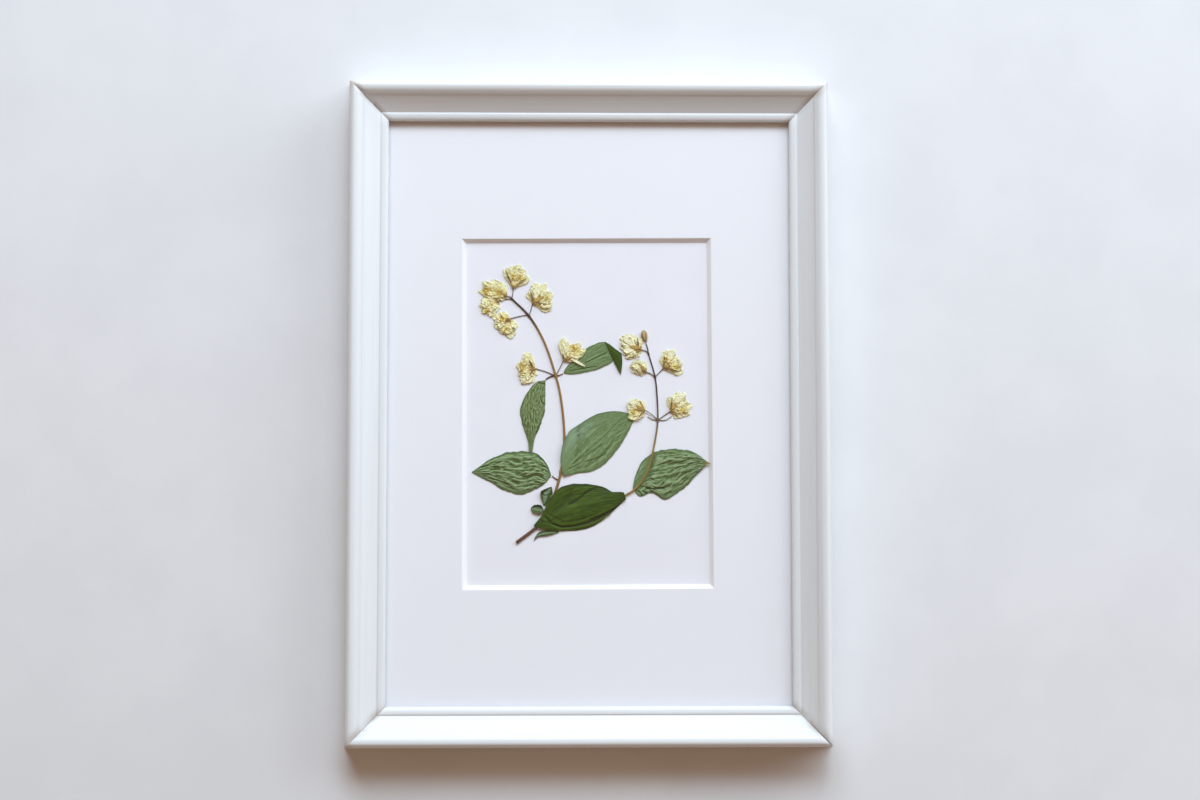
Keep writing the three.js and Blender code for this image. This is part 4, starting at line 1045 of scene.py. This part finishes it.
def thin_sheet(top, thin):
    """A closed sheet below a grid of points; it thins to half at its rim."""
    rows, cols = top.shape[:2]
    thickness = np.full((rows, cols), thin)
    thickness[[0, -1], :] *= 0.5
    thickness[:, [0, -1]] *= 0.5
    bottom = top - np.stack([0 * thickness, 0 * thickness, thickness], axis=2)
    points = np.concatenate([top.reshape(-1, 3), bottom.reshape(-1, 3)])
    layer = rows * cols
    faces = []
    for i in range(rows - 1):
        for j in range(cols - 1):
            a = i * cols + j
            faces.append([a, a + cols, a + cols + 1, a + 1])
            faces.append([layer + a + 1, layer + a + cols + 1, layer + a + cols, layer + a])
    rim = [*range(cols - 1), *range(cols - 1, layer, cols)]
    rim += [*range(layer - 2, layer - cols, -1), *range(layer - cols, 0, -cols)]
    faces += [[a, b, layer + b, layer + a] for a, b in zip(rim, rim[1:] + rim[:1])]
    return points, faces


def sheet_part(plan, height, thin, **values):
    """A thin sheet whose values are given on the grid of its top, or as one number for all."""
    points, faces = thin_sheet(np.dstack([plan, height]), thin)
    full = {key: np.tile((value + 0 * height).ravel(), 2) for key, value in values.items()}
    return dict(points=points, faces=faces, **full)


def between_rims(right, left, cols):
    """The plan between two rims, and two grids from 0 to 1: along it and across it."""
    u, share = np.meshgrid(np.linspace(0, 1, len(right)), np.linspace(0, 1, cols + 1), indexing="ij")
    return right[:, None] * (1 - share[..., None]) + left[:, None] * share[..., None], u, share


print("leaf helpers ready")

# %% A blade between its rims
def blade(leaf, seed, rows=170, cols=80):
    """One leaf as points, faces and the values that its finish reads."""
    base, tip = np.array(leaf["base"], float), np.array(leaf["tip"], float)
    axis = (tip - base) / np.linalg.norm(tip - base)
    beside = np.array([-axis[1], axis[0]])

    def rim(points, side):
        end = tip + side * leaf.get("tip_half", 0.15) * beside
        return flowing_line([base + side * 0.3 * beside, *points, end], rows + 1)

    plan, u, share = between_rims(rim(leaf["right"], -1), rim(leaf["left"], 1), cols)
    v = 2 * share - 1
    frill = noise_over(u * 7, np.sign(v), seed + 9) + 0.5 * noise_over(u * 23, np.sign(v), seed + 13)
    frill = (0.15 + 0.75 * min(1, leaf["pucker"])) * frill * abs(v) ** 6 * np.sin(np.pi * u)
    plan = plan + (np.sign(v) * frill)[:, :, None] * beside
    height, vein, crease = leaf_shape(leaf, u, v, plan[..., 0], plan[..., 1], seed)
    rim_near = 0.5 * abs(v) ** 14 + 0.5 * (2 * u - 1) ** 24
    if "rolled" in leaf:
        rim_near = np.maximum(smooth((abs(v) - 0.25) / 0.35), smooth((abs(2 * u - 1) - 0.6) / 0.3))
    # Painted sheen: a pale patch on the centre leaf, and a painted highlight down the middle of each rolled
    # leaf.
    painted_sheen = leaf.get("sheen", 0) * close_to(u, 0.4, 0.2) * close_to(v, 0.75, 0.3)
    painted_sheen += leaf.get("rolled", 0) * close_to(v, 0, 0.35)
    return sheet_part(
        plan, height + LEAF_THIN / 2, LEAF_THIN, vein=vein, valley=valley_of(height, 6, 0.15), crease=crease,
        rim=rim_near, dry=leaf.get("dry_tip", 0) * smooth((u - 0.93) / 0.05), upper=leaf.get("upper", 0),
        yellow=leaf.get("yellow", 0), sheen=painted_sheen, length=u * math.dist(base, tip), width=v * 8)


def folded_flap(seed, rows=70, cols=44):
    """The end of the top leaf, folded back over the blade with its dark upper side out."""
    inner, outer = flowing_line(FLAP["inner"], rows + 1), flowing_line(FLAP["outer"], rows + 1)
    plan, u, v = between_rims(inner, outer, cols)
    height = FLAP["height"] - (FLAP["height"] - FLAP["fold_height"]) * (1 - smooth(4 * u))
    height = height + 0.22 * np.sin(np.pi * v) + 0.07 * noise_over(4 * u, 9 * v, seed)
    return sheet_part(
        plan, height + LEAF_THIN / 2, LEAF_THIN, vein=close_to(v, 0.5, 0.03) + close_to(v, 0.15, 0.03),
        valley=valley_of(height, 4, 0.06), crease=0, rim=abs(2 * v - 1) ** 10, dry=0, upper=1, yellow=0,
        sheen=0, length=u * 16, width=v * 6)


print("blade helpers ready")

# %% [markdown]
# ### Colour of a dried leaf
# The sprig shows the pale undersides of most leaves; the front leaf and the folded flap
# show the dark upper side. The `upper` value chooses between the two. Veins are a little
# lighter, and a fine grain along the leaf stands for the smallest cells. Folds and creases
# get a darker, yellower painted shade, puckers a paler painted highlight, and the centre
# leaf and the rolled leaves a painted sheen.

# %% Finish of the leaves
def leaf_finish(name, roughness):
    material, tree, shader = new_material(name, Roughness=roughness, Specular_IOR_Level=0.15)
    place, run = place_on_object(tree), value_plane(tree, "length", "width")
    cells = grain(tree, run, (1.1, 4.2, 1.0), 5.0)
    streaks = grain(tree, run, (0.28, 1.5, 1.0), 4.0)
    upper, valley = vertex_value(tree, "upper"), vertex_value(tree, "valley")

    def side(scale, first, second, low, high, cell_share, cell, streak):
        """The colour of one side, with its cells and its longer streaks."""
        drift = mottled(tree, place, scale, rgb(*first), rgb(*second), low, high).outputs["Color"]
        drift = mix_colours(tree, times(tree, cells.outputs["Streak"], cell_share), drift, rgb(*cell))
        return mix_colours(tree, times(tree, streaks.outputs["Streak"], 0.7), drift, rgb(*streak))

    pale = side(170.0, (0.135, 0.225, 0.080), (0.215, 0.325, 0.150), 0.3, 0.7,
                0.6, (0.185, 0.285, 0.110), (0.105, 0.175, 0.062))
    olive = mottled(tree, place, 260.0, rgb(0.125, 0.175, 0.045), rgb(0.215, 0.260, 0.085)).outputs["Color"]
    pale = mix_colours(tree, vertex_value(tree, "yellow"), pale, olive)
    # Painted sheen: where `sheen` is high the pale side turns a lighter blue-green.
    pale = mix_colours(tree, times(tree, vertex_value(tree, "sheen"), 0.7), pale, rgb(0.25, 0.37, 0.25))
    dark = side(110.0, (0.021, 0.058, 0.0005), (0.048, 0.091, 0.001), 0.35, 0.65,
                0.5, (0.040, 0.088, 0.001), (0.012, 0.036, 0.001))
    base = mix_colours(tree, upper, pale, dark)
    # Painted light on the leaf: shade in folds, shadow along creases, a highlight on ridges; then lighter
    # veins, darker rims and dry tips.
    layers = (                         # how much of it shows, on the pale side, on the dark side
        (ramp(tree, valley, 0.0, 0.9, high=0.8), (0.045, 0.070, 0.012), (0.012, 0.028, 0.001)),
        (ramp(tree, vertex_value(tree, "crease"), 0.1, 0.8, high=0.9), (0.014, 0.024, 0.004), None),
        (ramp(tree, valley, -0.05, -1.0, high=0.65), (0.33, 0.43, 0.24), (0.060, 0.135, 0.006)),
        (times(tree, vertex_value(tree, "vein"), 0.45), (0.27, 0.36, 0.15), (0.045, 0.095, 0.006)),
        (times(tree, vertex_value(tree, "rim"), 0.9), (0.030, 0.055, 0.010), None),
        (vertex_value(tree, "dry"), (0.42, 0.27, 0.08), None),
    )
    for share, on_pale, on_dark in layers:
        colour = mix_colours(tree, upper, rgb(*on_pale), rgb(*on_dark)) if on_dark else rgb(*on_pale)
        base = mix_colours(tree, share, base, colour)
    return finished(material, shader, base, cells.outputs["Height"], 0.00018, 0.7)


pale_leaf = leaf_finish("pale_leaf_underside", 0.7)
dark_leaf = leaf_finish("dark_leaf_upper_side", 0.6)
print("leaf finishes:", [pale_leaf.name, dark_leaf.name])

# %% Nine leaves
FLAP_SEED = 61.0
for i, (name, leaf) in enumerate(LEAVES.items()):
    size = dict(rows=60, cols=30) if "rolled" in leaf else {}
    parts = [blade(leaf, 3.7 * i + 1.3, **size)]
    if name == "top":
        parts.append(folded_flap(FLAP_SEED))
    points, faces, values = joined(parts)
    skin, slot = (dark_leaf, "leaf_dark") if name == "front" else (pale_leaf, "leaf_pale")
    piece = new_piece("blade_" + name, points, faces, skin, slot, ["leaf_" + name], **values)
    print(piece.name, "faces:", len(faces), "highest in mm:", round(float(points[:, 2].max()), 2))

# %% [markdown]
# ## Flowers
# Each flower is a double one, pressed sideways: a handful of outer petals that reach its
# outline, shorter ones over them, and a crumpled middle, with golden stamens showing and
# brown pointed sepals at the foot. A petal is a thin sheet that widens from a narrow claw
# to a frilled end. Random numbers come from one seeded source per flower, so every run
# gives the same sprig.

# %% A petal, a stamen and a sepal
FLOWER_TOP, PETAL_THIN = 1.72, 0.07
PETAL, STAMEN, SEPAL = 0.0, 1.0, 2.0


def petal(foot, tip, width, level, rise, rng, rows=16, cols=12, low=0.06, crumple=0.2, frill=0.12):
    """A crumpled petal from `foot` to `tip`, lying `level` above the card at its foot."""
    foot, tip = np.asarray(foot, float), np.asarray(tip, float)
    length = np.linalg.norm(tip - foot)
    axis = (tip - foot) / length
    beside = np.array([-axis[1], axis[0]])
    seed = rng.uniform(0, 90)
    t, s = np.meshgrid(np.linspace(0, 1, rows + 1), np.linspace(-1, 1, cols + 1), indexing="ij")
    outline = (0.14 + 0.86 * t**0.7) * np.sqrt(np.clip(1 - (t * 0.97) ** 8, 0, 1))
    end = 1 - 0.16 * abs(s) ** 2.4 * t + frill * noise_over(s * 2.6, 0 * t, seed) * t**3
    across = width * outline * s * (1 + 0.10 * noise_over(t * 3, s * 1.5, seed + 5))
    plan = foot + (length * t * end)[:, :, None] * axis + across[:, :, None] * beside
    folds = noise_over(plan[:, :, 0] / 1.1 + seed, plan[:, :, 1] / 1.1, seed + 11, 3)
    pleats = np.sin(s * 4.5 + seed) * 0.3 * t
    z = level + rise * t + crumple * (1.5 * folds + pleats) + 0.25 * rng.uniform(-0.6, 1) * s**2 * t
    z = np.clip(z, low + PETAL_THIN, FLOWER_TOP)
    return sheet_part(plan, z, PETAL_THIN, depth=t, valley=valley_of(z, 2, 0.12),
                      tint=rng.uniform(0, 1), kind=PETAL)


def flower_tube(path, width_at, depth, tint, kind, **shape):
    """A short tube with the values that the flowers' finish reads."""
    made = tube(path, width_at, lambda t, p: 0.0, **shape)
    full = np.ones(len(made["points"]))
    return dict(points=made["points"], faces=made["faces"], depth=depth * full, valley=0 * full,
                tint=tint * full, kind=kind * full)


def stamen(foot, tip, level, rng, low):
    """A thread with a swollen golden end."""
    middle = (np.asarray(foot) + tip) / 2 + rng.uniform(-0.3, 0.3, 2)
    top = min(level + rng.uniform(0.1, 0.4), FLOWER_TOP - 0.25)
    path = [[*foot, max(level, low + 0.2)], [*middle, top], [*tip, top]]
    seed, tint = rng.uniform(0, 50), rng.uniform(0, 1)
    return flower_tube(path, lambda t, p: 0.16 + 0.42 * float(smooth(7 * t - 6)), 0.5, tint, STAMEN,
                       flatness=0.9, steps=14, sides=7, ridges=2, seed=seed)


def sepal(foot, tip, half, golden, level, rng, low):
    """A narrow pointed brown leaf at the flower's foot."""
    foot, tip = np.asarray(foot, float), np.asarray(tip, float)
    made = petal(foot, tip, half, level, rng.uniform(0.05, 0.25), rng, rows=14, cols=8, low=low,
                 crumple=0.1, frill=0.0)
    points, t = made["points"], made["depth"][:, None]
    centre = foot + t * (tip - foot)
    offset = points[:, :2] - centre
    points[:, :2] = centre + offset * (1 - 0.9 * t**1.7) * (0.35 + 0.65 * smooth(4 * t)) * 1.7
    return {**made, "kind": np.full(len(points), SEPAL), "tint": np.full(len(points), golden)}


def cup(calyx, away, level, low):
    """The swollen green-brown base that the petals come out of."""
    path = [[*(calyx + k * away), max(level, low + 0.5)] for k in (-0.5, 0.4, 1.2)]
    return flower_tube(path, lambda t, p: 0.45 + 0.8 * float(smooth(1.4 * t)), 0.2, 0.45, SEPAL,
                       flatness=0.6, steps=14, sides=14)


print("petal, stamen, sepal and cup ready")

# %% [markdown]
# ### Colour of the petals
# Fresh petals were white; dry ones are cream, with golden brown where they are bruised or
# close to the calyx, and a golden-brown painted shade in their folds. `kind` tells petals (0),
# stamens (1) and sepals (2) apart.

# %% Finish of the flowers
def petal_finish():
    material, tree, shader = new_material("dried_petals", Roughness=0.85, Specular_IOR_Level=0.2)
    place, tint, kind = place_on_object(tree), vertex_value(tree, "tint"), vertex_value(tree, "kind")

    def spots(scale, low, high):
        return mottled(tree, place, scale, rgb(0, 0, 0), rgb(1, 1, 1), low, high).outputs["Mask"]

    base = mix_colours(tree, tint, rgb(0.90, 0.85, 0.46), rgb(0.94, 0.92, 0.63))
    near = ramp(tree, vertex_value(tree, "depth"), 0.45, 0.05, high=0.7)
    gold = mix_colours(tree, tint, rgb(0.66, 0.42, 0.04), rgb(0.80, 0.60, 0.12))
    husk = mottled(tree, place, 700.0, rgb(0.10, 0.06, 0.035), rgb(0.18, 0.115, 0.055)).outputs["Color"]
    for share, colour in (
        (times(tree, spots(430.0, 0.5, 0.7), 0.35), rgb(0.66, 0.70, 0.38)),
        (maths(tree, "MULTIPLY_ADD", spots(610.0, 0.55, 0.72), 0.4, near, clamp=True),
         rgb(0.70, 0.48, 0.11)),
        # Painted shade: the petals' folds, where `valley` is high, turn golden brown.
        (ramp(tree, vertex_value(tree, "valley"), 0.15, 1.0, high=0.5), rgb(0.62, 0.46, 0.12)),
        (times(tree, vertex_value(tree, "gilt"), spots(520.0, 0.3, 0.6)), rgb(0.76, 0.58, 0.11)),
        (maths(tree, "GREATER_THAN", kind, (PETAL + STAMEN) / 2), gold),
        (maths(tree, "GREATER_THAN", kind, (STAMEN + SEPAL) / 2),
         mix_colours(tree, tint, husk, rgb(0.56, 0.37, 0.10))),
    ):
        base = mix_colours(tree, share, base, colour)
    tissue = grain(tree, place, (2600.0, 2600.0, 2600.0))
    return finished(material, shader, base, tissue.outputs["Height"], 0.00006, 0.6)


petals_skin = petal_finish()
print("nodes in the petals' finish:", len(petals_skin.node_tree.nodes))

# %% A whole flower
MIDDLE_PETALS, BROADER = 26, 10    # crumpled petals in the middle, and how many are broader
STAMENS, FLOWER_SEED = 7, 100      # stamens in each golden heart; the first flower's seed


def flower_parts(flower, seed):
    rng = np.random.default_rng(seed)
    calyx, heart = np.array(flower["calyx"], float), heart_of(flower)
    tips = [np.array(t, float) for t in flower["petals"]]
    gap = np.mean([np.linalg.norm(b - a) for a, b in zip(tips, tips[1:])])
    away = (heart - calyx) / np.linalg.norm(heart - calyx)
    low = 0.04 + flower.get("lift", 0)
    span = FLOWER_TOP - low
    parts = []

    def fan(ends, start, reach, width, level, **more):
        """Petals towards the given ends, crossing each other at the calyx."""
        for end in ends:
            foot = calyx + (end - calyx) * start + 0.3 * away
            tip = calyx + (end - calyx) * rng.uniform(*reach)
            height = low + span * rng.uniform(*level)
            parts.append(petal(foot, tip, width * gap, height, rng.uniform(0, 0.3), rng, low=low, **more))

    between = [(a + b) / 2 for a, b in zip(tips, tips[1:])]
    fan(tips, 0.0, (0.97, 1.0), 0.6, (0.1, 0.25))
    fan(between, 0.05, (0.9, 1.0), 0.55, (0.25, 0.4))
    mixed = [tips[i] + (tips[i + 1] - tips[i]) * rng.uniform()
             for i in rng.integers(0, len(tips) - 1, MIDDLE_PETALS)]
    fan(mixed[:BROADER], 0.3, (0.55, 0.94), 0.3, (0.4, 0.65), crumple=0.3, frill=0.3)
    fan(mixed[BROADER:], 0.4, (0.5, 0.97), 0.19, (0.5, 0.75), rows=14, cols=8, crumple=0.32, frill=0.35)
    for foot, tip, half, pale in flower.get("smooth", []):
        made = petal(foot, tip, half, low + span * 0.72, 0.2, rng, low=low, crumple=0.12, frill=0.08)
        parts.append({**made, "tint": np.full(len(made["tint"]), pale), "depth": 0.3 + 0.7 * made["depth"]})
    for centre in flower["gold"]:
        for _ in range(STAMENS):
            way = rng.normal(0, 1, 2)
            way /= np.linalg.norm(way)
            tip = centre + way * rng.uniform(0.5, 1.3)
            parts.append(stamen(centre + 0.2 * way, tip, low + span * 0.78, rng, low))
    for angle in (-1.0, 1.0):
        toward = np.array(turned(*away, angle))
        parts.append(sepal(calyx, calyx + 2.0 * toward, 0.4, 0.5, low + span * 0.5, rng, low))
    for foot, tip, half, golden in flower["sepals"]:
        parts.append(sepal(foot, tip, half, golden, low + span * 0.8, rng, low))
    parts.append(cup(calyx, away, low + span * 0.5, low))
    for part in parts:
        gaps = [np.hypot(*(part["points"][:, :2] - centre).T) for centre in flower["gold"]]
        part["gilt"] = close_to(np.min(gaps, axis=0), 0, 2.0) if gaps else np.zeros(len(part["points"]))
    return parts


for i, (name, flower) in enumerate(FLOWERS.items()):
    points, faces, values = joined(flower_parts(flower, FLOWER_SEED + i))
    piece = new_piece("petals_" + name, points, faces, petals_skin, "petal", ["flower_" + name], **values)
    print(piece.name, "faces:", len(faces), "highest in mm:", round(float(points[:, 2].max()), 2))

# %% [markdown]
# ## The bud
# One bud never opened. It is a pressed drop, widest near its rounded top, with ribs where
# the petals lie folded inside. It is turned from a profile, ring by ring.

# %% Bud
BUD_FOOT, BUD_TIP, BUD_WIDTH, BUD_TALL, RIB_DEPTH = (28.3, 33.9), (26.9, 40.6), 3.3, 1.6, 0.10


def bud_mesh(material, rings=36, sides=40):
    length = math.dist(BUD_FOOT, BUD_TIP)
    t = np.linspace(0, 1, rings + 1)
    radius = 0.5 * np.sin(np.pi * t**1.5) ** 0.6
    radius[[0, -1]] = 0.02
    angle = np.linspace(0, 2 * np.pi, sides, endpoint=False)
    ribs = 1 - RIB_DEPTH * abs(np.cos(2.5 * angle[None] + 0.6 * t[:, None])) ** 6 * smooth(5 * t)[:, None]
    x = np.cos(angle)[None] * radius[:, None] * ribs * BUD_WIDTH
    y = np.repeat((t * length)[:, None], sides, axis=1)
    z = np.sin(angle)[None] * radius[:, None] * ribs * BUD_TALL + BUD_TALL / 2 + 0.05 + SHEET_TOP
    x, y = turned(x, y, math.atan2(BUD_TIP[1] - BUD_FOOT[1], BUD_TIP[0] - BUD_FOOT[0]) - math.pi / 2)
    points = np.stack([x + BUD_FOOT[0], y + BUD_FOOT[1], z], axis=2).reshape(-1, 3)
    faces = ring_faces(rings + 1, sides)
    faces += [list(range(sides)), list(range(rings * sides, (rings + 1) * sides))]
    return new_piece("closed_bud", points, faces, material, "bud", ["bud"],
                     furrow=(1 - ribs) / RIB_DEPTH, height=np.repeat(t[:, None], sides, axis=1))


def bud_finish():
    material, tree, shader = new_material("tan_bud", Roughness=0.7)
    place = place_on_object(tree)
    husk = mottled(tree, place, 600.0, rgb(0.42, 0.29, 0.11), rgb(0.56, 0.42, 0.19))
    # Painted shade: the furrows between the ribs turn dark brown.
    base = mix_colours(tree, vertex_value(tree, "furrow"), husk.outputs["Color"], rgb(0.13, 0.08, 0.03))
    foot = ramp(tree, vertex_value(tree, "height"), 0.35, 0.1)
    base = mix_colours(tree, foot, base, rgb(0.16, 0.09, 0.045))
    skin = grain(tree, place, (2000.0, 2000.0, 2000.0))
    return finished(material, shader, base, skin.outputs["Height"], 0.00008, 0.6)


bud = bud_mesh(bud_finish())
print("bud points:", len(bud.data.vertices))
